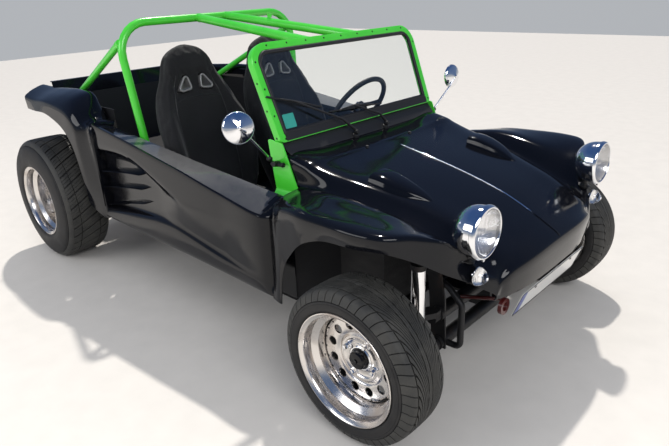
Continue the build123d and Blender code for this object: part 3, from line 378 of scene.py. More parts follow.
def shell(grid, wall, keep=None):
    """A sheet with a wall: the grid, its copy one wall along the normals, and the edges between them."""
    rows, columns = grid.shape[:2]
    inner = grid + grid_normals(grid) * wall
    points = np.concatenate([grid.reshape(-1, 3), inner.reshape(-1, 3)])
    half = rows * columns
    quads = {}
    for i in range(rows - 1):
        for j in range(columns - 1):
            if keep is None or keep(grid[i, j], i, j):
                k = i * columns + j
                quads[i, j] = (k, k + 1, k + columns + 1, k + columns)
    faces = list(quads.values()) + [tuple(v + half for v in face[::-1]) for face in quads.values()]
    sides = {}
    for face in quads.values():
        for a, b in zip(face, face[1:] + face[:1]):
            sides[a, b] = True
    faces += [(b, a, a + half, b + half) for a, b in sides if (b, a) not in sides]
    return points, faces


def read(table, value):
    """The second column of a table at a value of its first column."""
    return float(np.interp(value, [row[0] for row in table], [row[1] for row in table]))


def mirrored(shape):
    points, faces = shape
    return points * [1, -1, 1], [face[::-1] for face in faces]


def joined(*shapes):
    points, faces, start = [], [], 0
    for shape_points, shape_faces in shapes:
        points.append(np.asarray(shape_points, float))
        faces += [tuple(v + start for v in face) for face in shape_faces]
        start += len(shape_points)
    return np.concatenate(points), faces


# %% Turned shapes, pipes and plates
def band_faces(rings, n, closed=False):
    """Quads between rings of n points each; closed, the last ring meets the first."""
    faces = []
    for i in range(rings if closed else rings - 1):
        here, there = i * n, (i + 1) % rings * n
        faces += [(here + k, here + (k + 1) % n, there + (k + 1) % n, there + k) for k in range(n)]
    return faces


def end_faces(rings, n):
    return [tuple(range(n))[::-1], tuple(range((rings - 1) * n, rings * n))]


def lofted(rows, closed=False):
    """A form through loops with the same number of points, with its two ends filled unless it is closed."""
    points = np.array([p for row in rows for p in row], float)
    count, n = len(rows), len(rows[0])
    return points, ([] if closed else end_faces(count, n)) + band_faces(count, n, closed)


def basis(axis):
    """Two directions square to an axis and to each other."""
    axis = Vector(axis).normalized()
    side = axis.cross(Vector((0, 0, 1)) if abs(axis.z) < 0.9 else Vector((1, 0, 0))).normalized()
    return np.array(axis), np.array(side), np.array(axis.cross(side))


def turned(profile, centre, axis, steps=64, closed=False):
    """Turns a line of (along, radius) about an axis. A closed line is a ring, an open one is capped."""
    along, side, up = basis(axis)
    angles = np.linspace(0, 2 * pi, steps, endpoint=False)
    ring = np.cos(angles)[:, None] * side + np.sin(angles)[:, None] * up
    points = np.concatenate([np.asarray(centre) + a * along + max(r, 0.01) * ring for a, r in profile])
    faces = band_faces(len(profile), steps, closed)
    return points, faces if closed else faces + end_faces(len(profile), steps)


def bent(points, bend, steps=7):
    """A line through the corners with each inner corner rounded to a bend radius."""
    points = [Vector(p) for p in points]
    line = [points[0]]
    for before, corner, after in zip(points, points[1:], points[2:]):
        a, b = (before - corner).normalized(), (after - corner).normalized()
        angle = a.angle(b)
        reach = min(bend / tan(angle / 2), 0.49 * min((before - corner).length, (after - corner).length))
        radius = reach * tan(angle / 2)
        centre = corner + (a + b).normalized() * radius / sin(angle / 2)
        start, end = corner + a * reach - centre, corner + b * reach - centre
        for k in range(steps + 1):
            line.append(centre + start.slerp(end, k / steps, start) * radius)
    return line + [points[-1]]


def pipe(points, radius, bend=0, sides=20, loop=False):
    """A round tube along a line. The radius may be one number or one for each point."""
    line = [Vector(p) for p in (bent(points, bend) if bend else points)]
    count = len(line)
    radii = radius if isinstance(radius, (list, tuple)) else [radius] * count
    rings = []
    normal = None
    for i, point in enumerate(line):
        if loop:
            tangent = (line[(i + 1) % count] - line[i - 1]).normalized()
        else:
            tangent = (line[min(i + 1, count - 1)] - line[max(i - 1, 0)]).normalized()
        if normal is None:
            normal = Vector(basis(tangent)[1])
        normal = (normal - tangent * normal.dot(tangent)).normalized()
        other = tangent.cross(normal)
        for k in range(sides):
            a = 2 * pi * k / sides
            rings.append(point + (normal * cos(a) + other * sin(a)) * radii[i])
    faces = band_faces(count, sides, loop)
    return np.array([tuple(p) for p in rings]), faces if loop else faces + end_faces(count, sides)


def prism(outline, origin, u_way, v_way, depth):
    """A flat outline of (u, v), pushed along u x v by a depth."""
    u, v = np.array(u_way, float), np.array(v_way, float)
    push = np.cross(u, v) * depth
    flat = np.array([np.array(origin, float) + a * u + b * v for a, b in outline])
    return lofted([flat, flat + push])


def round_box(half_u, half_v, radius, centre=(0, 0)):
    """A rectangle with rounded corners about a centre."""
    u, v = centre
    corners = [(-half_u, -half_v), (half_u, -half_v), (half_u, half_v), (-half_u, half_v)]
    return rounded([(u + a, v + b) for a, b in corners], radius)


def rounded(outline, radius, steps=6):
    """A flat outline whose corners are rounded, each to the radius or to its own radius."""
    radii = radius if isinstance(radius, (list, tuple)) else [radius] * len(outline)
    line = []
    for k, corner in enumerate(outline):
        if radii[k] < 0.1:
            line.append(corner)
            continue
        after = outline[(k + 1) % len(outline)]
        trio = [Vector((*p, 0)) for p in (outline[k - 1], corner, after)]
        line += [(p.x, p.y) for p in bent(trio, radii[k], steps)[1:-1]]
    return line


# %% Make a piece
def piece(name, shape, finish, angle, slot, *replaced, body="chassis", bevel=0.0):
    """One object in metres at the origin, smooth but for edges sharper than the angle. A list is joined."""
    points, faces = joined(*shape) if isinstance(shape, list) else shape
    points = (np.asarray(points, float) + [SHIFT, 0, 0]) / 1000
    mesh = bpy.data.meshes.new(name)
    mesh.from_pydata([tuple(p) for p in points], [], faces)
    mesh.validate()
    work = bmesh.new()
    work.from_mesh(mesh)
    bmesh.ops.remove_doubles(work, verts=work.verts, dist=0.00001)
    bmesh.ops.delete(work, geom=[v for v in work.verts if not v.link_faces], context="VERTS")
    bmesh.ops.recalc_face_normals(work, faces=work.faces)
    for face in work.faces:
        face.smooth = True
    for edge in work.edges:
        edge.smooth = not (len(edge.link_faces) == 2 and edge.calc_face_angle(0) > radians(angle))
    work.to_mesh(mesh)
    work.free()
    mesh.materials.append(finish)
    made = bpy.data.objects.new(name, mesh)
    bpy.context.collection.objects.link(made)
    if bevel:
        soft = made.modifiers.new("soft_edges", "BEVEL")
        soft.width = bevel / 1000
        soft.segments = 2
        soft.limit_method = "ANGLE"
        soft.angle_limit = radians(max(angle, 30))
        soft.harden_normals = False
    return settle(made, body, slot, *replaced)


def settle(made, body, slot, *replaced):
    """The piece rides on a body and stands for the nodes it replaces; the slot is not used."""
    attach(made, body)
    if replaced:
        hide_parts(*replaced)
    return made


def dress(finish, *names):
    """Gives CAD nodes that keep their shape a finish."""
    for name in names:
        data = nodes[name].data
        data.materials.clear()
        data.materials.append(finish)


print("helpers ready")

# %% [markdown]
# ## The moulded body
#
# The real body is one glass-fibre moulding with a broad soft shoulder beside the hood, a trough, and wings
# that turn down over the front wheels. It could be pushed out of a subdivided block, but a few measured
# sections give better control: each row is a slice across the car, and smooth lines run through the slices.

# %% Front body sections
WALL = 5
FRONT_AXLE = 1200
REAR_AXLE = -1200
FRONT_TYRE = 288
REAR_TYRE = 355.5
SPLIT = 700
# Columns: x, crown z, shoulder y z, valley y z, join y z, top y z, crease y z, lip y z.
front_table = [
    (600, 851, 505, 858, 507, 742, 540, 738, 612, 722, 655, 700, 690, 320),
    (700, 832, 505, 838, 507, 738, 540, 733, 616, 722, 662, 696, 692, 318),
    (732, 828, 504, 830, 510, 740, 545, 740, 624, 730, 690, 704, 699, 317),
    (756, 822, 503, 820, 512, 742, 550, 746, 630, 738, 698, 712, 700, 316),
    (790, 815, 500, 810, 516, 745, 558, 760, 640, 748, 712, 724, 702, 485),
    (850, 804, 490, 796, 520, 747, 560, 768, 650, 758, 728, 740, 718, 562),
    (940, 787, 470, 780, 514, 736, 560, 775, 655, 770, 750, 753, 742, 640),
    (1050, 765, 443, 756, 500, 714, 550, 766, 650, 770, 760, 758, 750, 684),
    (1200, 728, 405, 717, 475, 678, 522, 736, 630, 759, 766, 761, 754, 698),
    (1300, 697, 390, 687, 457, 645, 514, 706, 600, 742, 737, 758, 728, 701),
    (1360, 672, 386, 662, 446, 622, 498, 682, 555, 718, 640, 739, 645, 656),
    (1410, 649, 382, 636, 434, 598, 474, 640, 510, 672, 560, 712, 560, 598),
    (1440, 635, 378, 618, 426, 586, 444, 600, 460, 616, 476, 634, 500, 562),
    (1480, 614, 370, 592, 404, 560, 414, 562, 424, 561, 434, 555, 440, 520),
]
hood_columns = 4
waist_share = 0.42


def front_row(row):
    x, crown, shoulder_y, shoulder_z, valley_y, valley_z, join_y, join_z = row[:8]
    top_y, top_z, crease_y, crease_z, lip_y, lip_z = row[8:]
    return [
        (x, 0, crown),
        (x, shoulder_y * 0.6, crown - (crown - shoulder_z) * 0.3),
        (x, shoulder_y - 22, shoulder_z + 2),
        (x, shoulder_y, shoulder_z - 16),
        (x, valley_y, valley_z),
        (x, join_y, join_z),
        (x, top_y, top_z),
        (x, crease_y, crease_z),
        (x, crease_y + 2, crease_z + (lip_z - crease_z) * waist_share),
        (x, lip_y, lip_z),
    ]


# The nose: the hood's front edge, the crease, the middle and the bottom of the upright face below it.
nose_table = [
    [(1526, 0, 588), (1522, 205, 582), (1506, 322, 570), (1500, 345, 560), (1498, 370, 542), (1499, 377, 536),
     (1500, 384, 528), (1501, 390, 516), (1502, 391, 502), (1502, 392, 484)],
    [(1542.5, 0, 572), (1539, 205, 568), (1522, 322, 556), (1516, 345, 546), (1508, 368, 526),
     (1507, 375, 518), (1506, 381, 508), (1505, 386, 497), (1504, 388, 486), (1503, 389, 474)],
    [(1543, 0, 516), (1538, 205, 514), (1520, 324, 506), (1514, 345, 502), (1506, 366, 494), (1505, 373, 490),
     (1504, 379, 485), (1503, 384, 479), (1502, 386, 474), (1501, 387, 467)],
    [(1536, 0, 457), (1531, 205, 457), (1512, 326, 458), (1506, 345, 459), (1500, 366, 460), (1499, 371, 461),
     (1498, 376, 461), (1497, 380, 461), (1496, 383, 461), (1495, 385, 460)],
]
front_rows = [front_row(row) for row in front_table] + nose_table
front_rows = [[(x, -y, z) for x, y, z in row[:0:-1]] + row for row in front_rows]
gaps = [max(3, round((b[9][0] - a[9][0]) / 13)) for a, b in zip(front_rows, front_rows[1:])]
across_half = [8, 7, 5, 8, 5, 7, 8, 4, 6]
across_front = across_half[::-1] + across_half
edge_columns = {0: (3,), 1: (3,), 17: (3,), 18: (3,)}
front_grid = sheet(front_rows, gaps, across_front, edge_columns, soften=4)
hood_reach = sum(across_half[:hood_columns])
middle = sum(across_half)


def on_front_body(point, i, j):
    """Before the split only the hood exists: the wings start behind the windscreen's brackets."""
    beside = abs(j + 0.5 - middle)
    return point[0] >= SPLIT - 0.5 or beside < hood_reach


front_shape = shell(front_grid, -WALL, on_front_body)
print("front grid", front_grid.shape)

# %% [markdown]
# The two scoops on the hood are teardrops, open at the back. A short table of arches gives each one, and a
# foot that runs out along the hood stands for the fillet of the real moulding.

# %% Hood scoops
# Columns: x, outer y, inner y, rise, hood z.
scoop_table = [
    (962, 406, 280, 36, 771),
    (1000, 403, 283, 38, 765),
    (1060, 392, 289, 33, 754),
    (1120, 367, 294, 22, 742),
    (1165, 336, 300, 9, 731),
    (1186, 322, 308, 1, 725),
]
scoop_arch = ((0.98, 0.3), (0.84, 0.78), (0.52, 1), (0, 1.06), (-0.48, 1.04), (-0.84, 0.96), (-0.98, 0.2))


def scoop_row(row):
    x, outer_y, inner_y, rise, hood_z = row
    centre_y, half = (outer_y + inner_y) / 2, (outer_y - inner_y) / 2
    line = [(x, centre_y + half * 1.16, hood_z - 2)]
    line += [(x, centre_y + half * out, hood_z + rise * up) for out, up in scoop_arch]
    return line + [(x, centre_y - half * 1.16, hood_z - 1)]


scoop_grid = sheet([scoop_row(row) for row in scoop_table], [4, 6, 6, 5, 3], [3] * 8, {}, (6,), 1)
scoop_shape = shell(scoop_grid, -2.5)
front_body = piece("front_body", joined(front_shape, scoop_shape, mirrored(scoop_shape)), black_paint, 40,
                   "body_black", "front_panel", "front_fender_left", "front_fender_right")
print("front body faces", len(front_body.data.polygons))

# %% [markdown]
# The side pod is a flat-topped sill with a shallow pocket that deepens towards the back wheel. Three blades
# cross the pocket. Its edges are real corners, so the sheet breaks at each of those columns.

# %% Side pods
# Columns: x, flank y, sill y, sill z, crease z, inner z, pocket top z, pocket low z, pocket depth.
side_table = [
    (699, 664, 690, 318, 657, 714, 600, 384, 0),
    (666, 698, 692, 318, 664, 717, 600, 386, 0),
    (400, 700, 690, 322, 701, 737, 600, 408, 0),
    (110, 700, 692, 328, 752, 756, 597, 449, 0),
    (20, 700, 693, 329, 765, 764, 617, 459, 9),
    (-100, 700, 694, 331, 784, 774, 656, 462, 24),
    (-330, 700, 698, 336, 818, 792, 722, 440, 38),
    (-640, 700, 708, 348, 858, 822, 712, 404, 46),
]


def side_row(row):
    x, flank, sill_y, sill_z, crease, inner, top, low, depth = row
    ledge = float(np.interp(x, [400, 680], [12, 3]))
    return [
        (x, 562, 262),
        (x, 562, inner - 60),
        (x, 566, inner - 12),
        (x, 582, inner),
        (x, flank - 4, crease + (inner - crease) * 0.04),
        (x, flank, crease - 5),
        (x, flank, top + 10),
        (x, flank - depth, top - 8),
        (x, flank - max(depth, ledge), low + 8),
        (x, flank - 1, low - 12),
        (x, sill_y, sill_z + 6),
        (x, sill_y - 12, sill_z),
    ]


side_rows = [side_row(row) for row in side_table]
side_corners = (1, 3, 4, 5, 6, 7, 8, 9)
side_across = [3, 2, 2, 6, 2, 6, 4, 8, 4, 6, 2]
side_grid = sheet(side_rows, [4, 18, 18, 6, 7, 13, 16], side_across, {}, side_corners, 1)
side_shape = shell(side_grid, WALL)
blade_table = [(606, 655), (520, 582), (416, 508)]
blade_front_x = -238
blade_rear_x = -638


def blade(rear_z, front_z):
    """One blade: a thin wedge that thins out at the front and swells a little at the back."""
    rows = []
    for t, lift, out in ((0, 0, 0), (0.35, 4, 1), (0.75, 5, 2), (1, 0, -5)):
        x = blade_rear_x + (blade_front_x - blade_rear_x) * t
        z = rear_z + (front_z - rear_z) * t + lift
        thick = 9 - 5 * t
        rows.append([(x, 652, z - thick), (x, 696 + out, z - thick * 0.4), (x, 699 + out, z),
                     (x, 652, z + thick * 0.6)])
    return shell(sheet(rows, [6, 8, 5], [4, 3, 4], soften=1), 2)


end_line = [(652, 398), (700, 398), (708, 410), (708, 716), (700, 720), (652, 708)]
pod_end = prism(end_line, (-640, 0, 0), (0, 1, 0), (0, 0, 1), -4)
pod_shape = joined(side_shape, pod_end, *[blade(*row) for row in blade_table])


def on_cap(point, i, j):
    """The cap's front end is cut off at a slant."""
    return point[0] < 672 - (700 - point[1]) * 0.2 and point[0] > -420


cap_band = side_grid[:, 7:14] + [0, 0, 1.2]
cap_band[:, 0, 1] -= 3
cap_shape = shell(cap_band, 2.2, on_cap)
for side, shape in (("left", pod_shape), ("right", mirrored(pod_shape))):
    piece(f"side_pod_{side}", shape, black_paint, 34, "body_black", f"side_panel_{side}")
    cap = cap_shape if side == "left" else mirrored(cap_shape)
    piece(f"sill_cap_{side}", cap, cap_satin, 34, "body_black")
print("side pods made")

# %% [markdown]
# The rear wing is a dome over the wide back tyre. Its sections lie in planes through the wheel's own axle,
# so the table gives an angle and then a radius and a distance from the middle of the car for each line of
# the dome.

# %% Rear wings
ARCH = (REAR_AXLE, REAR_TYRE)
# Columns: angle, then radius and y of lip, crease, shoulder, inner edge and foot.
wing_table = [
    (-1.5, 542, 712, 546, 711, 554, 706, 566, 703, 566, 690),
    (2, 464, 721, 492, 717, 552, 707, 566, 703, 566, 690),
    (7, 421, 728, 462, 722, 552, 707, 568, 703, 568, 690),
    (16, 440, 733, 478, 727, 562, 709, 582, 703, 580, 690),
    (28, 472, 739, 512, 735, 606, 714, 640, 706, 634, 692),
    (42, 519, 742, 592, 740, 700, 714, 747, 702, 722, 560),
    (47, 530, 742, 635, 739, 686, 706, 690, 588, 664, 548.3),
    (53, 534, 741, 646, 738, 696, 692, 704, 572, 664, 548.3),
    (60, 528, 738, 632, 733, 690, 672, 710, 556, 650, 548.3),
    (70, 514, 734, 600, 727, 650, 658, 665, 554, 600, 548.3),
    (84, 506, 728, 574, 719, 610, 646, 624, 553, 560, 548.3),
    (102, 510, 720, 574, 708, 608, 640, 624, 553, 560, 548.3),
    (116, 552, 706, 628, 700, 664, 634, 680, 553, 610, 548.3),
]


def wing_row(row):
    turn = radians(row[0])
    return [(ARCH[0] + r * cos(turn), y, ARCH[1] + r * sin(turn)) for r, y in zip(row[9::-2], row[10::-2])]


wing_rows = [wing_row(row) for row in wing_table]
wing_grid = sheet(wing_rows, [3, 3, 4, 5, 7, 5, 5, 6, 7, 8, 8, 7], [3, 9, 9, 7], {}, (3,), 2)
wing_shape = shell(wing_grid, WALL)
for side, shape in (("left", wing_shape), ("right", mirrored(wing_shape))):
    piece(f"rear_wing_{side}", shape, black_paint, 50, "body_black", f"rear_fender_{side}")
print("rear wings made")

# %% [markdown]
# ## Wheels
#
# Each wheel is a wide steel barrel with a pressed disc riveted inside it. The disc repeats twelve times
# round the axle: one sector with its hole and its rivet is enough, and Geometry Nodes turn it into the
# ring. The same tree makes the tyres' tread, whose blocks are one pitch of rubber repeated round the
# carcass.


# %% Ring tree
RIM_FLANGE = 207.5
BEAD_SEAT = 190.5
def unit_tree(name, inputs):
    """A tree with named inputs that copies a unit's geometry, makes the copies real and paints them."""
    tree = bpy.data.node_groups.new(name, "GeometryNodeTree")
    for label, kind in inputs.items():
        tree.interface.new_socket(label, in_out="INPUT", socket_type="NodeSocket" + kind)
    tree.interface.new_socket("Geometry", in_out="OUTPUT", socket_type="NodeSocketGeometry")
    add, link = tree.nodes.new, tree.links.new
    given = add("NodeGroupInput").outputs
    info = add("GeometryNodeObjectInfo")
    info.transform_space = "ORIGINAL"
    link(given["Unit"], info.inputs["Object"])
    copies = add("GeometryNodeInstanceOnPoints")
    link(info.outputs["Geometry"], copies.inputs["Instance"])
    real = add("GeometryNodeRealizeInstances")
    link(copies.outputs[0], real.inputs[0])
    paint = add("GeometryNodeSetMaterial")
    link(given["Finish"], paint.inputs["Material"])
    link(paint.outputs[0], add("NodeGroupOutput").inputs["Geometry"])
    return tree, given, copies.inputs, real.outputs[0], paint.inputs["Geometry"]


def ring_tree():
    """Count copies of a unit, each turned one step further about the wheel's axle."""
    inputs = {"Geometry": "Geometry", "Unit": "Object", "Count": "Int", "Finish": "Material", "Weld": "Float",
              "Seed": "Int"}
    tree, given, copies, real, paint = unit_tree("repeat_round_axle", inputs)
    add, link = tree.nodes.new, tree.links.new
    points = add("GeometryNodePoints")
    link(given["Count"], points.inputs["Count"])
    step = add("ShaderNodeMath")
    step.operation = "DIVIDE"
    step.inputs[0].default_value = 2 * pi
    link(given["Count"], step.inputs[1])
    turn = add("ShaderNodeMath")
    turn.operation = "MULTIPLY"
    link(add("GeometryNodeInputIndex").outputs[0], turn.inputs[0])
    link(step.outputs[0], turn.inputs[1])
    about = add("ShaderNodeCombineXYZ")
    link(turn.outputs[0], about.inputs["Y"])
    link(points.outputs[0], copies["Points"])
    link(about.outputs[0], copies["Rotation"])
    weld = add("GeometryNodeMergeByDistance")
    link(real, weld.inputs["Geometry"])
    link(given["Weld"], weld.inputs["Distance"])
    link(weld.outputs[0], paint)
    return tree


def coordinates(mesh):
    flat = np.empty(len(mesh.vertices) * 3)
    mesh.vertices.foreach_get("co", flat)
    return flat.reshape(-1, 3)


def raw_mesh(name, shape):
    """A mesh in metres about its own origin, with no place in the frame yet."""
    points, faces = shape
    mesh = bpy.data.meshes.new(name)
    mesh.from_pydata([tuple(p / 1000) for p in np.asarray(points, float)], [], faces)
    return mesh


def grown(name, tree, unit, carrier=None, **inputs):
    """Runs a tree with a unit shape and gives what it makes, as points in millimetres and faces."""
    source = bpy.data.objects.new(name, raw_mesh(name, unit))
    holder = bpy.data.objects.new(name + "_holder", carrier or bpy.data.meshes.new(name))
    for made in (source, holder):
        bpy.context.collection.objects.link(made)
    maker = holder.modifiers.new("grow", "NODES")
    maker.node_group = tree
    sockets = {item.name: item.identifier for item in tree.interface.items_tree if item.in_out == "INPUT"}
    for key, value in {"Unit": source, "Finish": None, **inputs}.items():
        maker[sockets[key]] = value
    bpy.context.view_layer.update()
    mesh = bpy.data.meshes.new_from_object(holder.evaluated_get(bpy.context.evaluated_depsgraph_get()))
    for made in (source, holder):
        bpy.data.objects.remove(made)
    return coordinates(mesh) * 1000, [tuple(p.vertices) for p in mesh.polygons]


around_axle = ring_tree()
AXLE = ((0, 0, 0), (0, 1, 0))


def repeated(name, unit, count, weld=0.0):
    """A unit shape repeated round the Y axis."""
    return grown(name, around_axle, unit, Count=count, Weld=weld, Seed=1)


print("ring tree ready")

# %% [markdown]
# The disc's sector is a fan of quads between a round hole and the sector's edges. Every point's depth comes
# from one profile by radius, so the disc keeps its pressed shape wherever the hole lies.


# %% Pierced disc
def disc_sector(profile, low, high, count, hole_at, hole_r, wall, rings=7):
    """One sector of the pressed disc with its hole, as a shell."""
    half = pi / count
    corners = [(low, -half), (low, half), (high, half), (high, -half)]
    edge = []
    for (r, a), (next_r, next_a) in zip(corners, corners[1:] + corners[:1]):
        edge += [(r + (next_r - r) * k / 10, a + (next_a - a) * k / 10) for k in range(10)]
    flat = np.array([(r * cos(a) - hole_at, r * sin(a)) for r, a in edge])
    angles = np.arctan2(flat[:, 1], flat[:, 0])
    circle = np.stack([np.cos(angles), np.sin(angles)], axis=1) * hole_r
    grid = []
    for k in range(rings + 1):
        t = (k / rings) ** 1.4
        line = circle * (1 - t) + flat * t
        grid.append([(x + hole_at, read(profile, hypot(x + hole_at, y)), y) for x, y in line])
    grid = np.array(grid)
    centre = np.array([hole_at, 0, 0])
    lip = centre + (grid[:1] - centre) * [0.93, 1, 0.93] - [0, 3, 0]
    grid = np.concatenate([lip, grid])
    n = grid.shape[1]
    points, faces = [], []
    for push in (0, -wall):
        points += [(x, y + push, z) for x, y, z in grid.reshape(-1, 3)]
    size = grid.shape[0] * n
    for k in range(grid.shape[0] - 1):
        for m in range(n):
            a, b = k * n + m, k * n + (m + 1) % n
            faces.append((a, b, b + n, a + n))
            faces.append((a + size, a + n + size, b + n + size, b + size))
    for m in range(n):
        a, b = m, (m + 1) % n
        faces.append((a, a + size, b + size, b))
    return np.array(points), faces


def moved(shape, x=0, y=0, z=0):
    points, faces = shape
    return np.asarray(points) + [x, y, z], faces


def wheel_shapes(width, face_y):
    """The parts of one steel wheel about the origin, whose outer side faces +Y."""
    half = width / 2
    seat, flange = BEAD_SEAT, RIM_FLANGE
    outer = [
        (-half, flange - 1.5), (-half + 3, flange), (-half + 6, flange - 3), (-half + 9, seat + 6),
        (-half + 14, seat), (-half + 38, seat), (-half + 48, seat - 10), (-half + 54, seat - 22),
        (half - 64, seat - 22), (half - 58, seat - 12), (half - 48, seat), (half - 14, seat),
        (half - 9, seat + 6), (half - 6, flange - 3), (half - 3, flange), (half, flange - 1.5),
    ]
    inner = [
        (half + 0.5, flange - 5), (half - 3, flange - 9), (half - 8, seat - 0.5), (half - 16, seat - 4),
        (half - 44, seat - 4), (half - 52, seat - 14), (half - 60, seat - 25), (half - 66, seat - 26),
        (-half + 56, seat - 26), (-half + 50, seat - 16), (-half + 42, seat - 4), (-half + 16, seat - 4),
        (-half + 6, seat - 2), (-half + 1, flange - 7),
    ]
    barrel = turned(outer + inner, *AXLE, 144, True)
    f = face_y
    profile = [(100, f + 9), (104, f + 11.6), (110, f + 12.8), (124, f + 13.6), (150, f + 13.8)]
    disc = repeated("disc_sector", disc_sector(profile, 101, 149, 12, 124, 17.5, 4), 12, 0.0001)
    skirt = turned(
        [(f + 13.6, 147.5), (f + 13.6, 152), (f + 12.6, 157), (f + 9.5, 160.8), (f + 3, 163.2), (f - 30, 164),
         (f - 30, 159), (f - 1, 158.5), (f + 8, 155), (f + 10, 147.5)],
        *AXLE, 120, True,
    )
    boss = turned(
        [(f + 9.6, 102), (f + 6, 98), (f + 4.6, 94), (f + 6.5, 89), (f + 9, 84), (f + 8.5, 77), (f + 3.5, 71),
         (f + 2, 66), (f + 2, 54), (f + 5, 49), (f + 6, 40), (f - 4, 36), (f - 4, 60), (f - 1, 96),
         (f + 5, 102)],
        *AXLE, 120, True,
    )
    rivet = turned([(0, 3.8), (1.6, 3.4), (2.6, 2), (2.8, 0)], (154, f + 12.6, 0), (0, 1, 0), 10)
    rivets = repeated("rivet", rivet, 24)
    nut_line = [(-2, 12.5), (3, 11.8), (5, 10.5), (20, 10.5), (24, 8), (25, 0)]
    nut_shape = turned(nut_line, (65, f + 2, 0), (0, 1, 0), 6)
    washer = turned([(-2, 15), (2, 15), (3.4, 12.5), (3.4, 0)], (65, f + 1.5, 0), (0, 1, 0), 28)
    nuts = joined(*[spun(joined(nut_shape, washer), 14 + 90 * k) for k in range(4)])
    collar = turned([(f + 3, 47), (f + 8, 46.5), (f + 10.5, 43), (f + 10.5, 39.5), (f + 4, 38.5)],
                    *AXLE, 64, True)
    cap = turned(
        [(f - 2, 38), (f + 12, 38), (f + 15, 36.5), (f + 16, 34), (f + 27, 33), (f + 32, 29), (f + 34, 22),
         (f + 34.5, 0)],
        *AXLE, 56,
    )
    bolt = turned([(0, 9), (5, 9), (6, 7.5), (6, 0)], (0, f + 34, 0), (0, 1, 0), 6)
    valve = pipe([(176, half - 24, 0), (172, half - 12, 0), (171, half + 2, 0)], 3.2, 6, 10)
    # A black ring lines the inside of the disc's skirt: painted shade, so the hollow behind the disc's edge
    # stays dark.
    painted_shade_ring = turned(
        [(-half + 50, 163.6), (f - 34, 163.6), (f - 31, 158), (f - 1, 157.5), (f + 6, 154), (f + 6, 151),
         (f - 3, 155), (f - 34, 156), (f - 38, 161.8), (-half + 50, 161.8)],
        *AXLE, 96, True,
    )
    return {
        "steel": joined(barrel, disc, skirt, boss),
        "chrome": joined(nuts, collar),
        "cap": joined(cap, bolt),
        "dark": joined(valve, rivets, painted_shade_ring),
    }


def spun(shape, angle):
    """Turns a shape about the Y axis by an angle in degrees."""
    points, faces = shape
    turn = radians(angle)
    x, y, z = np.asarray(points, float).T
    return np.stack([x * cos(turn) + z * sin(turn), y, -x * sin(turn) + z * cos(turn)], axis=1), faces


print("wheel shapes ready")

# %% [markdown]
# Tread: on the real front tyres long grooves sweep back from the middle in a V, and short cuts cross the
# shoulders. The rear ones have a wide band between two shoulders, all cut at one slant. Each groove is a
# strip of the carcass left low, so the unit is one pitch of raised blocks, and a ring of them is laid on a
# slightly smaller carcass. The blocks are a piece of their own, because their worn tops are greyer than the
# sidewall.


# %% Carcass and tread
def tyre_line(radius, width):
    """The outer line from bead to bead, as (along the axle, radius), for the side facing +Y."""
    half = width / 2
    flange = RIM_FLANGE
    rise = radius - flange
    return [
        (half - 14, flange - 14), (half - 11, flange - 1), (half - 6, flange + 3),
        (half - 1.5, flange + 0.10 * rise), (half, flange + 0.28 * rise), (half - 2.5, flange + 0.48 * rise),
        (half - 9, flange + 0.67 * rise), (half * 0.865, flange + 0.80 * rise),
        (half * 0.79, flange + 0.905 * rise), (half * 0.66, radius - 3.5), (half * 0.40, radius - 0.8),
        (0, radius),
    ]


def smooth_line(points, steps=4):
    flat = np.array([(a, r, 0) for a, r in points], float)
    return spline(flat, [steps] * len(points))[:, :2]


class Carcass:
    """The rounded outer line of a tyre, read by distance across the tread."""

    def __init__(self, radius, width):
        line = smooth_line(tyre_line(radius, width), 6)
        whole = np.concatenate([line, (line * [-1, 1])[::-1][1:]])
        self.line = whole
        middle = len(line) - 1
        length = np.concatenate([[0], np.cumsum(np.hypot(*np.diff(whole, axis=0).T))])
        self.at = length - length[middle]
        tangent = np.gradient(whole, axis=0)
        tangent /= np.hypot(tangent[:, 0], tangent[:, 1])[:, None]
        self.out = np.stack([-tangent[:, 1], tangent[:, 0]], axis=1)
        if self.out[middle][1] < 0:
            self.out = -self.out

    def point(self, across, lift):
        y = np.interp(-across, self.at, self.line[:, 0])
        r = np.interp(-across, self.at, self.line[:, 1])
        oy = np.interp(-across, self.at, self.out[:, 0])
        orr = np.interp(-across, self.at, self.out[:, 1])
        return y + oy * lift, r + orr * lift

    def body(self, depth, span, steps=180):
        """A closed carcass whose tread band lies a groove's depth under the tread."""
        outer = []
        for a, (y, r) in zip(self.at, self.line):
            low = depth * min(1, max(0, (span - abs(a)) / 4 + 0.25))
            outer.append(self.point(-a, -low))
        inner = [(y * 0.9, r - 11 if r > 215 else r - 6) for y, r in outer[::-3]]
        inner = [(y, max(r, 193)) for y, r in inner]
        return turned(outer + inner, *AXLE, steps, True)


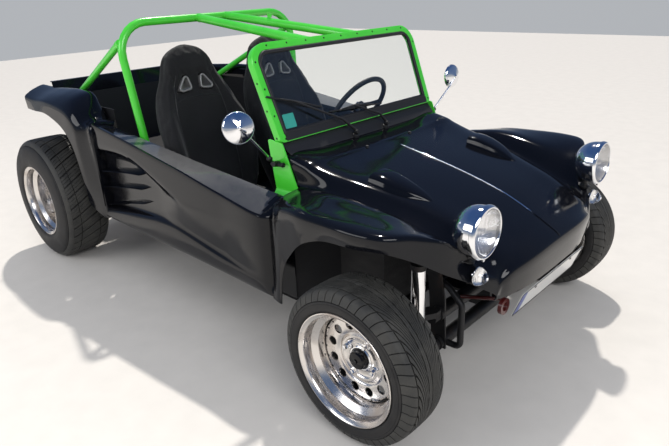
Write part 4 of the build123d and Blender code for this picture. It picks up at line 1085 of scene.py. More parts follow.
def tread_block(carcass, corners, low, high, steps=(4, 3), bend=1.0, chamfer=0.8):
    """A raised block between four corners (across, angle). A bend above 1 sweeps its inner end round."""
    (a0, t0), (a1, t1), (a2, t2), (a3, t3) = corners
    nu, nv = steps
    points = []
    for lift, inset in ((low, 0), (high - chamfer, 0), (high, chamfer)):
        for i in range(nu + 1):
            for j in range(nv + 1):
                u, v = i / nu, j / nv
                if inset:
                    u += (0.5 - u) * min(0.2, 2 * inset / max(abs(a1 - a0), 6))
                    v += (0.5 - v) * min(0.2, 2 * inset / max(abs(t3 - t0) * 280, 5))
                w = 1 - (1 - u) ** bend
                across = (a0 * (1 - u) + a1 * u) * (1 - v) + (a3 * (1 - u) + a2 * u) * v
                angle = (t0 * (1 - w) + t1 * w) * (1 - v) + (t3 * (1 - w) + t2 * w) * v
                y, r = carcass.point(across, lift)
                points.append((r * sin(angle), y, r * cos(angle)))
    n = nv + 1
    size = (nu + 1) * n
    border = [(i, 0) for i in range(nu)] + [(nu, j) for j in range(nv)]
    border += [(i, nv) for i in range(nu, 0, -1)] + [(0, j) for j in range(nv, 0, -1)]
    faces = []
    top = 2 * size
    for i in range(nu):
        for j in range(nv):
            k = top + i * n + j
            faces.append((k, k + 1, k + n + 1, k + n))
    for layer in (0, 1):
        for (i, j), (k, m) in zip(border, border[1:] + border[:1]):
            a, b = layer * size + i * n + j, layer * size + k * n + m
            faces.append((a, b, b + size, a + size))
    return np.array(points), faces


def directional_unit(carcass, depth, count, way):
    """One pitch of the front tyre: a centre rib, long swept ribs and shoulder lugs between short cuts."""
    pitch = 2 * pi / count
    sweep = way * pitch
    blocks = []
    for side in (-1, 1):

        def block(low, high, start, reach, wide, steps, bend=1.0):
            corners = [(side * low, start), (side * high, start + reach), (side * high, start + reach + wide),
                       (side * low, start + wide)]
            blocks.append(tread_block(carcass, corners, -depth - 0.5, 0, steps, bend))

        block(0.5, 7, 0, 0, pitch, (2, 4))
        block(11, 60, 0, 2.7 * sweep, 0.36 * pitch, (14, 2), 1.5)
        block(11, 60, 0.5 * pitch, 2.7 * sweep, 0.36 * pitch, (14, 2), 1.5)
        for part in (0, 0.5):
            block(63.5, 117, 2.75 * sweep + part * pitch, 0.22 * sweep, 0.455 * pitch, (9, 2), 1.6)
    return joined(*blocks)


def slanted_unit(carcass, depth, count, way):
    """One pitch of the rear tyre: a wide band and two shoulders, cut at one slant, and finer cuts."""
    pitch = 2 * pi / count
    slant = way * 0.0085 * pitch
    blocks = []

    def block(low, high, begin, wide, steps):
        corners = [(low, begin + slant * low), (high, begin + slant * high),
                   (high, begin + wide + slant * high), (low, begin + wide + slant * low)]
        blocks.append(tread_block(carcass, corners, -depth - 0.5, 0, steps))

    for part in range(3):
        for low, high, steps in ((-53, 53, 10), (57, 100, 4), (-100, -57, 4)):
            block(low, high, 0.29 * part * pitch, 0.272 * pitch, (steps, 2))
    for low, high in ((100.5, 131), (-131, -100.5)):
        block(low, high, 0, pitch, (4, 4))
    return joined(*blocks)


def tyre_shape(radius, width, unit_maker, count, depth, span, way):
    carcass = Carcass(radius, width)
    tread = repeated("tread_pitch", unit_maker(carcass, depth, count, way), count)
    marks = []
    for a in (-1, 1):
        for reach, size in ((10, 1.2), (0.80 * (carcass.at[-1] - span), 1.8)):
            y, r = carcass.point(a * (span + reach), -0.4)
            ring = [(y - size, r - size), (y + a * size * 0.6, r + size * 0.2), (y + size, r + size)]
            marks.append(turned(ring[::a], *AXLE, 120, True))
    return joined(carcass.body(depth, span), *marks), tread


print("tread units ready")

# %% Four wheels
wheel_places = {
    "front": (FRONT_AXLE, 741, FRONT_TYRE, 195, -6, "f"),
    "rear": (REAR_AXLE, 712, REAR_TYRE, 266, 2, "r"),
}
front_tyre = tyre_shape(FRONT_TYRE, 201, directional_unit, 24, 6.5, 119, -1)
rear_tyre = tyre_shape(REAR_TYRE, 279, slanted_unit, 36, 8, 133, 1)
tyre_shapes = {"front": front_tyre, "rear": rear_tyre}
for end, (axle_x, track_half, axle_z, rim_width, face_y, letter) in wheel_places.items():
    parts = wheel_shapes(rim_width, face_y)
    for side, sign in (("left", 1), ("right", -1)):
        body = f"wheel_{letter}{side[0]}"

        def here(shape, turn=0):
            put = moved(spun(shape, turn), axle_x, track_half, axle_z)
            return put if sign > 0 else mirrored(put)

        carcass_shape, tread_shape = tyre_shapes[end]
        piece(f"{end}_tyre_rubber_{side}", here(carcass_shape), side_rubber, 30, "tyre_black",
              f"{end}_tyre_{side}", body=body)
        piece(f"{end}_tyre_tread_{side}", here(tread_shape), tread_rubber, 30, "tyre_black", body=body)
        piece(f"{end}_steel_wheel_{side}", here(parts["steel"], 11), wheel_metal, 28, "wheel_steel",
              f"{end}_rim_{side}", body=body)
        piece(f"{end}_wheel_nuts_{side}", here(parts["chrome"], 11), bright, 25, "chrome_trim", body=body)
        piece(f"{end}_hub_cap_{side}", here(parts["cap"], 11), black_paint, 30, "chassis_black", body=body)
        # The valve, the black rivets and the black ring of painted shade behind the disc's edge.
        piece(f"{end}_wheel_liner_{side}", here(parts["dark"], 11), moulding, 30, "chassis_black", body=body)
print("tread faces", len(front_tyre[1][1]), len(rear_tyre[1][1]))

# %% [markdown]
# ## Cage and windscreen
#
# The cage is bent steel tube: a hoop behind the seats, two bars forward to the screen and two stays back to
# the bay. A pipe function with rounded corners draws each run, and a thin ring of weld bead hides each
# joint, as on the real one.

# %% Roll cage
TUBE, BAR, STAY = 20, 21, 18
hoop = [(-380, -500, 258), (-472, -567, 1332), (-472, 567, 1332), (-380, 500, 258)]
cage_runs = [pipe(hoop, TUBE, 150, 28)]
cage_details = []
bolt_head = [(0, 8), (5, 8), (6, 6), (6, 0)]
for s in (-1, 1):
    bar_start, bar_end = (-472, 90 * s, 1332), (441, 155 * s, 1242)
    stay_start, stay_end = (-470, 555 * s, 1245), (-1240, 506 * s, 885)
    cage_runs.append(pipe([bar_start, bar_end], BAR, 0, 28))
    cage_runs.append(pipe([stay_start, stay_end], STAY, 0, 24))
    for start, end, radius, out in ((bar_start, bar_end, BAR, 19), (bar_end, bar_start, BAR, 2),
                                    (stay_start, stay_end, STAY, 22), (stay_end, stay_start, STAY, 28)):
        way = (Vector(end) - Vector(start)).normalized()
        spot = Vector(start) + way * out
        bead_line = [(-4, radius - 2), (-2.5, radius + 1.5), (1, radius + 1.8), (4, radius - 1)]
        cage_details.append(turned(bead_line, spot, way, 30))
    plate = round_box(35, 28, 8)
    cage_details.append(prism(plate, (-1225, 537 * s, 863), (1, 0, 0), (0, 0, 1), -6 * s))
    foot = round_box(50, 35, 9)
    cage_details.append(prism(foot, (-380, 492 * s, 254.6), (1, 0, 0), (0, 1, 0), 6))
    for dx in (-36, 36):
        for dy in (-24, 24):
            cage_details.append(turned(bolt_head, (-380 + dx, 492 * s + dy, 260), (0, 0, 1), 6))
    for dx in (-24, 24):
        cage_details.append(turned(bolt_head, (-1225 + dx, 531 * s, 863), (0, -s, 0), 6))
lug = rounded([(-16, 0), (16, 0), (14, 20), (-14, 20)], 6)
cage_details.append(prism(lug, (-130, 112, 1320), (1, 0, 0), (0, 0, 1), -5))
piece("tube_cage", joined(*cage_runs, *cage_details), lime, 32, "cage_lime", "roll_cage")
print("cage runs", len(cage_runs))

# %% [markdown]
# The screen frame is square bar with a rubber seal and laminated glass inside it. All of them follow one
# rounded outline, so one function gives it at any inset, and a ring between two insets is a strip of the
# frame.


# %% Screen frame
SCREEN_LOW = np.array([607.0, 0.0, 897.0])
SCREEN_FOOT, SCREEN_HEAD = 508, 524
rise, back = 371.0, 146.0
screen_height = hypot(rise, back)
screen_up = np.array([-back, 0, rise]) / screen_height
screen_out = np.array([rise, 0, back]) / screen_height
screen_side = np.array([0.0, 1.0, 0.0])


def screen_line(inset, top_radius=85, low_radius=22, steps=10):
    low, high = inset, screen_height - inset
    bottom, top = SCREEN_FOOT - inset, SCREEN_HEAD - inset
    corners = [(-bottom, low), (bottom, low), (top, high), (-top, high)]
    radii = [max(low_radius - inset, 5)] * 2 + [max(top_radius - inset, 8)] * 2
    return rounded(corners, radii, steps)


def on_screen(u, v, out=0.0):
    return SCREEN_LOW + screen_side * u + screen_up * v + screen_out * out


def screen_ring(section):
    """A ring round the screen whose section is a closed line of (inset, out)."""
    loops = [[on_screen(u, v, out) for u, v in screen_line(inset)] for inset, out in section]
    return lofted(loops, True)


frame_section = [(0.5, -33), (0, -31), (0, -3), (1, -0.6), (3, 0), (26, 0), (29, -1), (30, -3),
                 (30, -31), (28, -34), (3, -34)]
brackets = []
for s in (-1, 1):
    plate = rounded([(530, 906), (614, 898), (690, 716), (560, 706)], [8, 10, 3, 3])
    brackets.append(prism(plate, (0, 512.6 * s, 0), (1, 0, 0), (0, 0, 1), s * 5))
    foot = []
    for x in (562, 688):
        foot.append([(x, s * y, z) for y, z in
                     ((513, 712), (513.5, 708), (515.5, 703), (519, 698), (553, 662), (549.5, 658.5),
                      (515, 694), (511, 700), (508.6, 707), (508, 712))])
    brackets.append(lofted(foot))
    for x in (600, 652):
        bolt_line = [(0, 8), (4.5, 8), (5.5, 6), (5.5, 0)]
        brackets.append(turned(bolt_line, (x, s * 537, 680), (0, s * 0.7, 0.7), 6))
piece("screen_frame", joined(screen_ring(frame_section), *brackets), lime, 32, "cage_lime",
      "windscreen_frame")

seal_section = [(29.5, -4), (30.5, -0.5), (33, 2.2), (38, 3), (43, 2), (46, -1), (46.5, -4), (44, -5),
                (38, -5.2), (38, -12), (44, -12), (45, -14), (42, -16), (33, -16), (30.3, -14)]
lower_cover = rounded([(-476, 4), (476, 4), (477, 33), (-477, 33)], 5)
cover = prism(lower_cover, SCREEN_LOW + screen_out * 0.2, screen_side, screen_up, 2.4)
# A black sheet slopes from the frame's foot down to the hood and closes the dark band between them.
dark_band_rows = []
for y in np.linspace(-494, 494, 25):
    lift = 5 * (y / 500) ** 2
    dark_band_rows.append([(589, y, 896), (606, y, 884), (622, y, 866), (638, y * 0.985, 845 + lift)])
skirt = shell(sheet(dark_band_rows, [1] * 24, [3, 3, 3], soften=0), 3)
piece("screen_seal", joined(screen_ring(seal_section), cover, skirt), seal_rubber, 40, "seal_rubber",
      "windscreen_seal")
pane = prism(screen_line(38.4, 85, 22, 8), SCREEN_LOW - screen_out * 5.2, screen_side, screen_up, -6)
piece("screen_pane", pane, screen_glass, 40, "screen_glass", "windscreen_glass")
print("screen ready")

# %% [markdown]
# Small screws hold the frame every 100 mm or so. A Geometry Nodes tree walks a curve of the frame's middle
# line, sets a screw at each step and turns it outwards.


# %% Screws along a line
def along_tree():
    """Units set along a line at a named spacing and turned to face a named way."""
    inputs = {"Geometry": "Geometry", "Unit": "Object", "Spacing": "Float", "Facing": "Vector",
              "Finish": "Material"}
    tree, given, copies, real, paint = unit_tree("set_along_line", inputs)
    add, link = tree.nodes.new, tree.links.new
    line = add("GeometryNodeMeshToCurve")
    link(given["Geometry"], line.inputs["Mesh"])
    points = add("GeometryNodeCurveToPoints")
    points.mode = "LENGTH"
    link(line.outputs[0], points.inputs["Curve"])
    link(given["Spacing"], points.inputs["Length"])
    facing = add("FunctionNodeAlignRotationToVector")
    facing.axis = "Z"
    link(given["Facing"], facing.inputs["Vector"])
    link(points.outputs[0], copies["Points"])
    link(facing.outputs[0], copies["Rotation"])
    link(real, paint)
    return tree


along_line = along_tree()


def set_along(name, unit, path, spacing, facing):
    """A unit about the origin, facing +Z, set along a path of points in millimetres."""
    carrier = bpy.data.meshes.new(name + "_path")
    edges = [(k, k + 1) for k in range(len(path) - 1)]
    carrier.from_pydata([tuple(np.asarray(p) / 1000) for p in path], edges, [])
    return grown(name, along_line, unit, carrier, Spacing=spacing / 1000, Facing=Vector(facing))


screw = turned([(-1, 4.2), (0.6, 4.2), (1.8, 3), (2.2, 1.4), (1.0, 1.2), (0.9, 0)], (0, 0, 0), (0, 0, 1), 12)
screw_path = [on_screen(u, v, -0.2) for u, v in screen_line(13)]
half_way = len(screw_path) // 2
screw_path = screw_path[half_way:] + screw_path[:half_way]
screws = set_along("frame_screw", screw, screw_path, 108, screen_out)
spread = SCREEN_HEAD - SCREEN_FOOT
outer_path = [on_screen(SCREEN_FOOT + spread * t, screen_height * t, -17) for t in (0.06, 0.5, 0.9)]
side_screws = set_along("frame_side_screw", screw, outer_path, 100, (0, 1, 0))
piece("screen_frame_screws", joined(screws, side_screws, mirrored(side_screws)), clean_metal, 30,
      "chassis_black")
print("screws", len(screws[1]))

# %% [markdown]
# Two wipers lie on the low edge of the glass. Each has a black body on the scuttle, an arm and a thin blade
# that keeps a hand's width of rubber on the glass.

# %% Wipers and label
wipers = []
for pivot_y, tip_u, tip_v in ((-100, -395, 150), (110, -60, 76)):
    base = (632, pivot_y, 846)
    pivot = [(0, 17), (10, 17), (13, 14), (14, 9), (28, 9), (31, 6), (31, 0)]
    wipers.append(turned(pivot, base, (0.25, 0, 0.97), 24))
    wipers.append(turned([(0, 9), (14, 9), (15, 6), (15, 0)], (640, pivot_y - 6, 868), (1, 0.1, 0.1), 20))
    tip = on_screen(tip_u, tip_v, 16)
    knee = on_screen(pivot_y * 0.75 + tip_u * 0.25, -8 + (tip_v - 10) * 0.25, 34)
    wipers.append(pipe([(636, pivot_y, 874), knee, tip], [7, 5.5, 3.5], 0, 10))
    a, b = on_screen(tip_u - 118, tip_v + 38, 5), on_screen(tip_u + 150, tip_v - 48, 5)
    if pivot_y > 0:
        a, b = on_screen(tip_u - 150, tip_v - 2, 5), on_screen(tip_u + 190, tip_v - 22, 5)
    way = (b - a) / np.linalg.norm(b - a)
    blade_side = np.cross(screen_out, way)
    profile = [(-0.9, -8), (0.9, -8), (1.6, -2), (3.4, 0), (3.4, 4), (-3.4, 4), (-3.4, 0), (-1.6, -2)]
    wipers.append(prism(profile, a, blade_side, screen_out, float(np.linalg.norm(b - a))))
    wipers.append(pipe([a + way * 60 + screen_out * 5, tip, b - way * 60 + screen_out * 5], 3, 0, 8))
piece("wipers", wipers, seal_rubber, 34, "seal_rubber")
label = round_box(30, 29, 4, (-428, 79))
label_shape = prism(label, SCREEN_LOW - screen_out * 5.0, screen_side, screen_up, 0.6)
piece("glass_label", label_shape, teal, 30, "seal_rubber")
print("wipers and label ready")

# %% [markdown]
# ## Lamps, mirrors and small fittings
#
# The headlamps are chrome bowls on short stalks. What makes them read as lamps is inside: a polished
# reflector, a bulb shield and a fluted lens in front, so each is turned as a separate hollow shape.

# %% Headlamps
LAMP = np.array([1495.0, 467.5, 735.0])
lamp_chrome, lamp_black, lamp_lens, lamp_mirror = [], [], [], []
bowl_line = smooth_line([(-6, 84), (-14, 87.3), (-24, 86.5), (-42, 84.5), (-64, 77), (-86, 61), (-102, 38),
                         (-111, 0.5)], 4)
bowl_inner = [(a, max(r - 2.2, 0.2)) for a, r in bowl_line[:-1][::-1]]
rim_line = [(-15, 87), (-12, 90), (-6, 90.5), (1, 88), (4.5, 84), (5, 80.5), (2.5, 79), (-3, 81),
            (-10, 82), (-15, 82)]
lens_line = smooth_line([(1, 81), (4, 74), (8, 55), (10.5, 30), (11.5, 0.4)], 5)
lens_back = [(a - 3, r) for a, r in lens_line[::-1]]
mirror_line = smooth_line([(-4, 80), (-20, 70), (-38, 50), (-50, 26), (-54, 1)], 5)
mirror_back = [(a - 1.2, max(r - 0.4, 0.2)) for a, r in mirror_line[::-1]]


for s in (-1, 1):
    spot = LAMP * [1, s, 1]
    lamp_chrome.append(turned([*bowl_line, *bowl_inner], spot, (1, 0, 0), 72, True))
    lamp_chrome.append(turned(rim_line, spot, (1, 0, 0), 96, True))
    lamp_lens.append(turned([*lens_line, *lens_back], spot, (1, 0, 0), 72, True))
    lamp_mirror.append(turned([*mirror_line, *mirror_back], spot, (1, 0, 0), 64, True))
    bulb_shield = [(-50, 7), (-34, 7), (-30, 12), (-20, 12), (-17, 8), (-16, 0)]
    lamp_mirror.append(turned(bulb_shield, spot, (1, 0, 0), 24))
    lamp_chrome.append(prism(rounded([(-5, 0), (5, 0), (4, 13), (-4, 13)], 2),
                             spot + [-9, -6, -96], (0, 1, 0), (0, 0, 1), 7))
    stalk = [spot + [-58, 0, -70], spot + [-59, 0, -84], spot + [-61, 0, -104]]
    lamp_black.append(pipe(stalk, [9, 10.5, 12], 0, 20))
    stalk_foot = [(-3, 24), (1, 24), (5, 17), (9, 13), (9, 0)]
    lamp_black.append(turned(stalk_foot, spot + [-62, 0, -108], (0.28, -s * 0.1, 0.95), 28))
    lamp_black.append(turned([(0, 16), (8, 16), (11, 12), (11, 0)], spot + [-58, 0, -76], (0, 0, 1), 6))
piece("headlamp_bowls", lamp_chrome, bright, 32, "chrome_trim", "headlamp_shells")
piece("headlamp_stalks", lamp_black, clean_metal, 30, "chassis_black")
piece("headlamp_reflectors", lamp_mirror, bright, 40, "chrome_trim")
piece("headlamp_glasses", lamp_lens, lamp_glass, 60, "lamp_glass", "headlamp_lenses")
print("headlamps ready")

# %% Indicators and number plate
marks_metal, marks_lens = [], []
for s in (-1, 1):
    spot = np.array([1457.8, 472 * s, 581])
    base_line = [(0, 12), (7, 12), (9, 22), (12, 30), (15, 31.5), (16.5, 30), (15, 27), (13, 20), (12, 0)]
    marks_metal.append(turned(base_line, spot, (1, 0, 0), 48))
    line = smooth_line([(14, 30.5), (21, 31), (33, 26), (44, 16), (50, 8), (51, 0.4)], 4)
    marks_lens.append(turned(list(line), spot, (1, 0, 0), 48))
    marks_metal.append(turned([(50, 6.2), (52, 5), (52.7, 0)], spot, (1, 0, 0), 20))
piece("indicator_bases", marks_metal, bright, 35, "chrome_trim", "indicators")
piece("indicator_lenses", marks_lens, lamp_glass, 50, "lamp_glass")

slope = radians(20)
plate_up = np.array([sin(slope), 0, cos(slope)])
plate_out = np.array([cos(slope), 0, -sin(slope)])
plate_at = np.array([1536, 0, 442]) - plate_up * 55
plate_board = round_box(260, 54.5, 9)
board = prism(plate_board, plate_at - plate_out * 3, (0, 1, 0), plate_up, 3)
rim_outer, rim_inner = plate_board, round_box(256, 50.5, 7)


def flat_ring(outer, inner, origin, u_way, v_way, depth):
    """A flat frame between two outlines with the same number of points."""
    u, v = np.array(u_way, float), np.array(v_way, float)
    push = np.cross(u, v) * depth
    loops = []
    for line, lift in ((outer, 0), (outer, 1), (inner, 1), (inner, 0)):
        loops.append([np.array(origin) + a * u + b * v + push * lift for a, b in line])
    return lofted(loops, True)


plate_rim = flat_ring(rim_outer, rim_inner, plate_at, (0, 1, 0), plate_up, 1.2)
strip_line = round_box(20, 48, 4, (-234, 0))
strip = prism(strip_line, plate_at + plate_out * 0.02, (0, 1, 0), plate_up, 0.5)
tabs = []
for y in (-150, 150):
    tabs.append(prism([(-20, 0), (20, 0), (20, 4), (-20, 4)], (1514, y, 455), (0, 1, 0), (1, 0, 0), -3))
    screw_head = [(0, 5.5), (1.6, 5.2), (2.6, 3.4), (2.8, 0)]
    tabs.append(turned(screw_head, plate_at + [0, y, 0] + plate_up * 38, plate_out, 16))
piece("plate_board", board, plate_white, 30, "plate_white", "number_plate", bevel=0.8)
piece("plate_rim", joined(plate_rim, *tabs), clean_metal, 30, "chassis_black")
piece("plate_side_strip", strip, plate_blue, 30, "plate_white")
print("plate is blank")

# %% [markdown]
# The door mirrors are round chrome pans on thin chromed arms. Seen from the front the pan's back is a
# shallow cone with a bright boss, clamped by a black block on the screen bracket.

# %% Mirrors
mirror_chrome, mirror_black, mirror_face = [], [], []
for s in (-1, 1):
    disc_at = np.array([600, 705 * s, 997])
    face_way = np.array([1, -0.05, 0.03] if s > 0 else [0.88, -0.42, 0.15])
    back_line = smooth_line([(-1, 57.5), (4, 58), (9, 54), (17, 38), (24, 18), (27, 9)], 4)
    pan = list(back_line) + [(30, 8), (32, 5), (32.5, 0.4)]
    mirror_chrome.append(turned(pan, disc_at, face_way, 72))
    pan_rim = [(-3, 55), (-3.5, 58.5), (-1, 60), (2, 59.5), (2, 56)]
    mirror_chrome.append(turned(pan_rim, disc_at, face_way, 72, True))
    mirror_face.append(turned([(-1.6, 56), (-1.4, 30), (-1.2, 0.4)], disc_at, face_way, 64))
    arm = [disc_at + [24, -s * 5, -6], (618, 672 * s, 956), (590, 560 * s, 845), (590, 530 * s, 818)]
    mirror_chrome.append(pipe(arm, 4.8, 26, 16))
    sleeve = [(-9, 8), (-6, 11), (7, 11), (10, 8)]
    mirror_black.append(turned(sleeve, (591, 562 * s, 846), (0.1, s * 0.8, 0.6), 20))
    mirror_black.append(pipe([(590, 516 * s, 814), (590, 545 * s, 820)], 12, 0, 20))
    mirror_black.append(pipe([(562, 528 * s, 812), (626, 529 * s, 818)], 8, 0, 16))
    mirror_black.append(turned([(0, 10.5), (7, 10.5), (8, 9), (8, 0)], (626, 529 * s, 818), (1, 0, 0.1), 6))
piece("door_mirror_pans", mirror_chrome, bright, 34, "chrome_trim", "mirrors")
piece("door_mirror_glasses", mirror_face, bright, 30, "chrome_trim")
piece("door_mirror_clamps", mirror_black, clean_metal, 34, "chassis_black")

# %% Bonnet bead, washer jets and tail lamps
centre_line = front_grid[:, middle]
bead_points = [centre_line[k] for k in range(len(centre_line)) if 800 < centre_line[k][0] < 1428]
count = len(bead_points)
bead = pipe([p + [0, 0, 1.5] for p in bead_points], [0.8] + [2.8] * (count - 2) + [0.8], 0, 12)
ridge = pipe([p + [0, 0, 0.8] for p in centre_line if 1424 < p[0] < 1540 and p[2] > 572], 2.6, 0, 10)
jets = []
for y in (-150, 150):
    spot = np.array([742, y, read(front_table, 742) - 3])
    jets.append(turned([(-3, 9), (2, 9), (6, 6.5), (9, 6), (10, 0)], spot, (0.1, 0, 1), 24))
    jets.append(turned([(0, 2), (5, 1.8), (5, 0)], spot + [0, 0, 6], (-0.8, 0, 0.5), 10))
piece("bonnet_bead", bead, bright, 40, "chrome_trim")
piece("washer_jets", jets, clean_metal, 30, "chassis_black")
piece("nose_ridge", ridge, black_paint, 40, "body_black")
dress(red_lens, "tail_lamps")
print("small fittings ready")

# %% [markdown]
# ## Seats
#
# Each seat is a one-piece padded bucket: a tilted back with a narrow head and raised side rolls, on a short
# cushion. Cloth over foam is tight but not flat, so the form is built as two closed lofts, fused by a voxel
# remesh, and swollen a little by Blender's cloth with inner pressure. Seams come after that.


# %% Seat forms
TILT = radians(14)
back_up = np.array([-sin(TILT), 0, cos(TILT)])
back_out = np.array([cos(TILT), 0, sin(TILT)])
back_foot = np.array([-120.0, 0, 330])
BACK_HEIGHT = 917
half_width = [
    (0, 176), (60, 186), (140, 212), (220, 233), (320, 244), (420, 246), (520, 247), (580, 243), (640, 230),
    (690, 212), (730, 189), (765, 168), (800, 154), (840, 138), (870, 119), (893, 94), (909, 64),
    (BACK_HEIGHT, 30),
]
roll_height = [(0, 20), (90, 44), (200, 76), (330, 94), (450, 86), (540, 62), (610, 30), (680, 12), (760, 6),
               (BACK_HEIGHT, 0)]


def rise_between(value, low, high):
    t = min(1.0, max(0.0, (value - low) / (high - low)))
    return t * t * (3 - 2 * t)


def back_front(u, v, w):
    """How far the front of the back stands out of its plane."""
    s = abs(u) / w
    head = 10 * rise_between(v, 700, 840)
    lumbar = 9 * exp_bell(v, 230, 110) * (1 - s)
    return -8 + head + lumbar + (read(roll_height, v) + 4) * rise_between(s, 0.60, 0.90)


def exp_bell(value, middle_value, spread):
    return 1 / (1 + ((value - middle_value) / spread) ** 2)


def power(value, exponent):
    return abs(value) ** exponent * (1 if value >= 0 else -1)


def back_form():
    rows = []
    for v in np.linspace(0, BACK_HEIGHT, 74):
        w = read(half_width, v)
        thin = 1 - 0.45 * rise_between(v, 860, BACK_HEIGHT)
        row = []
        for k in range(56):
            a = 2 * pi * k / 56
            u = w * power(cos(a), 0.5)
            front, behind = back_front(u, v, w) * thin, -74 * thin
            middle_out = -30 + read(roll_height, v) * 0.35
            reach = (front if sin(a) >= 0 else behind) - middle_out
            out = middle_out + reach * abs(sin(a)) ** 0.42
            row.append(back_foot + back_up * v + [0, u, 0] + back_out * out)
        rows.append(row)
    return lofted(rows)


def cushion_form():
    top_line = [(-150, 352), (-60, 352), (60, 366), (180, 384), (240, 389), (270, 376), (284, 350)]
    roll_line = [(-160, 500), (-110, 510), (0, 476), (60, 446), (150, 418), (225, 392), (270, 376),
                 (284, 350)]
    low_line = [(-150, 272), (-120, 268), (120, 286), (250, 302), (284, 336)]
    rows = []
    for x in np.concatenate([np.linspace(-150, 240, 34), [252, 262, 271, 278, 283]]):
        top, roll, low = read(top_line, x), read(roll_line, x), read(low_line, x)
        taper = rise_between(x, 200, 284)
        w = 191 - 10 * taper
        row = []
        for k in range(48):
            a = 2 * pi * k / 48
            u = w * power(cos(a), 0.5)
            crown = 10 * (1 - (u / w) ** 2)
            high = top + crown * (1 - taper) + (roll - top) * rise_between(abs(u) / w, 0.66, 0.90)
            centre_z = top * 0.5 + roll * 0.1 + low * 0.4
            reach = (high if sin(a) >= 0 else low) - centre_z
            row.append(np.array([x, u, centre_z + reach * abs(sin(a)) ** 0.42]))
        rows.append(row)
    return lofted(rows)


slot_outline = rounded([(25, 694), (122, 681), (40, 790)], 11, 5)


def slot_cutter(side):
    outline = [(side * u, v) for u, v in slot_outline]
    if side < 0:
        outline = outline[::-1]
    return prism(outline, back_foot - back_out * 120, (0, 1, 0), back_up, 240)


print("seat forms ready")

# %% [markdown]
# The slots for the harness are cut with a Boolean before the remesh, so the cloth closes round them. The
# swelling is capped and held at the back and underneath, where the real seat has a hard shell.


# %% Cloth step
def bare_object(name, shape):
    made = bpy.data.objects.new(name, raw_mesh(name, shape))
    bpy.context.collection.objects.link(made)
    work = bmesh.new()
    work.from_mesh(made.data)
    bmesh.ops.recalc_face_normals(work, faces=work.faces)
    work.to_mesh(made.data)
    work.free()
    return made


def applied(made):
    mesh = bpy.data.meshes.new_from_object(made.evaluated_get(bpy.context.evaluated_depsgraph_get()))
    made.modifiers.clear()
    made.data = mesh
    return made


def padded_form(name, voxel):
    form = bare_object(name, joined(back_form(), cushion_form()))
    union = form.modifiers.new("fuse", "REMESH")
    union.mode = "VOXEL"
    union.voxel_size = 0.005
    applied(form)
    for side in (-1, 1):
        cutter = bare_object("slot_cutter", slot_cutter(side))
        cut = form.modifiers.new("cut", "BOOLEAN")
        cut.operation = "DIFFERENCE"
        cut.solver = "EXACT"
        cut.object = cutter
        applied(form)
        bpy.data.objects.remove(cutter)
    even = form.modifiers.new("even", "REMESH")
    even.mode = "VOXEL"
    even.voxel_size = voxel
    soft = form.modifiers.new("soft", "SMOOTH")
    soft.factor = 0.5
    soft.iterations = 4
    return applied(form)


def swollen(form, frames=20, cap=0.009):
    """Cloth with inner pressure, held at the back and underneath."""
    before = coordinates(form.data)
    normals = np.array([tuple(v.normal) for v in form.data.vertices])
    out = (before * 1000 - back_foot) @ back_out
    under = (out < -45) | ((before[:, 2] < 0.33) & (before[:, 0] > -0.1)) | (normals[:, 2] < -0.7)
    held = form.vertex_groups.new(name="held")
    held.add([int(k) for k in np.nonzero(under)[0]], 1.0, "REPLACE")
    swell = form.modifiers.new("swell", "CLOTH")
    swell.settings.use_pressure = True
    swell.settings.uniform_pressure_force = 4
    swell.settings.effector_weights.gravity = 0
    swell.settings.vertex_group_mass = "held"
    swell.settings.tension_stiffness = 12
    swell.settings.compression_stiffness = 12
    swell.settings.quality = 4
    swell.collision_settings.use_collision = False
    scene = bpy.context.scene
    for step in range(1, frames + 1):
        scene.frame_set(step)
    applied(form)
    scene.frame_set(1)
    after = coordinates(form.data)
    move = after - before
    length = np.linalg.norm(move, axis=1, keepdims=True)
    after = before + move * np.minimum(1, cap / np.maximum(length, 1e-9))
    form.data.vertices.foreach_set("co", after.ravel())
    form.data.update()
    return form, float(np.minimum(length, cap).max() * 1000)


seat_form = padded_form("seat_form", 0.007)
seat_form, grown_by = swollen(seat_form)
print("seat swelled by up to", round(grown_by, 1), "mm")
print("seat points", len(seat_form.data.vertices))

# %% [markdown]
# A seam is a shallow groove where two panels meet. Here the inner panel's edge runs down each side of the
# back, across under the head and round the cushion; each vertex near that line sinks a little, and a thin
# cord of piping lies in it.


# %% Seams, piping and slot rims
seam_share = 0.60
seam_heights = np.linspace(40, 770, 40)
seam_lines = [[(side * read(half_width, v) * seam_share, v) for v in seam_heights] for side in (-1, 1)]
SEAM_SIDE = 138
CUSHION_SIDE = 124
CUSHION_FRONT = 225


def head_seam(u):
    """The height of the seam under the head at a distance from the middle."""
    return 640 + 18 * (1 - (u / SEAM_SIDE) ** 2)


across_head = [(u, head_seam(u)) for u in np.linspace(-SEAM_SIDE, SEAM_SIDE, 24)]


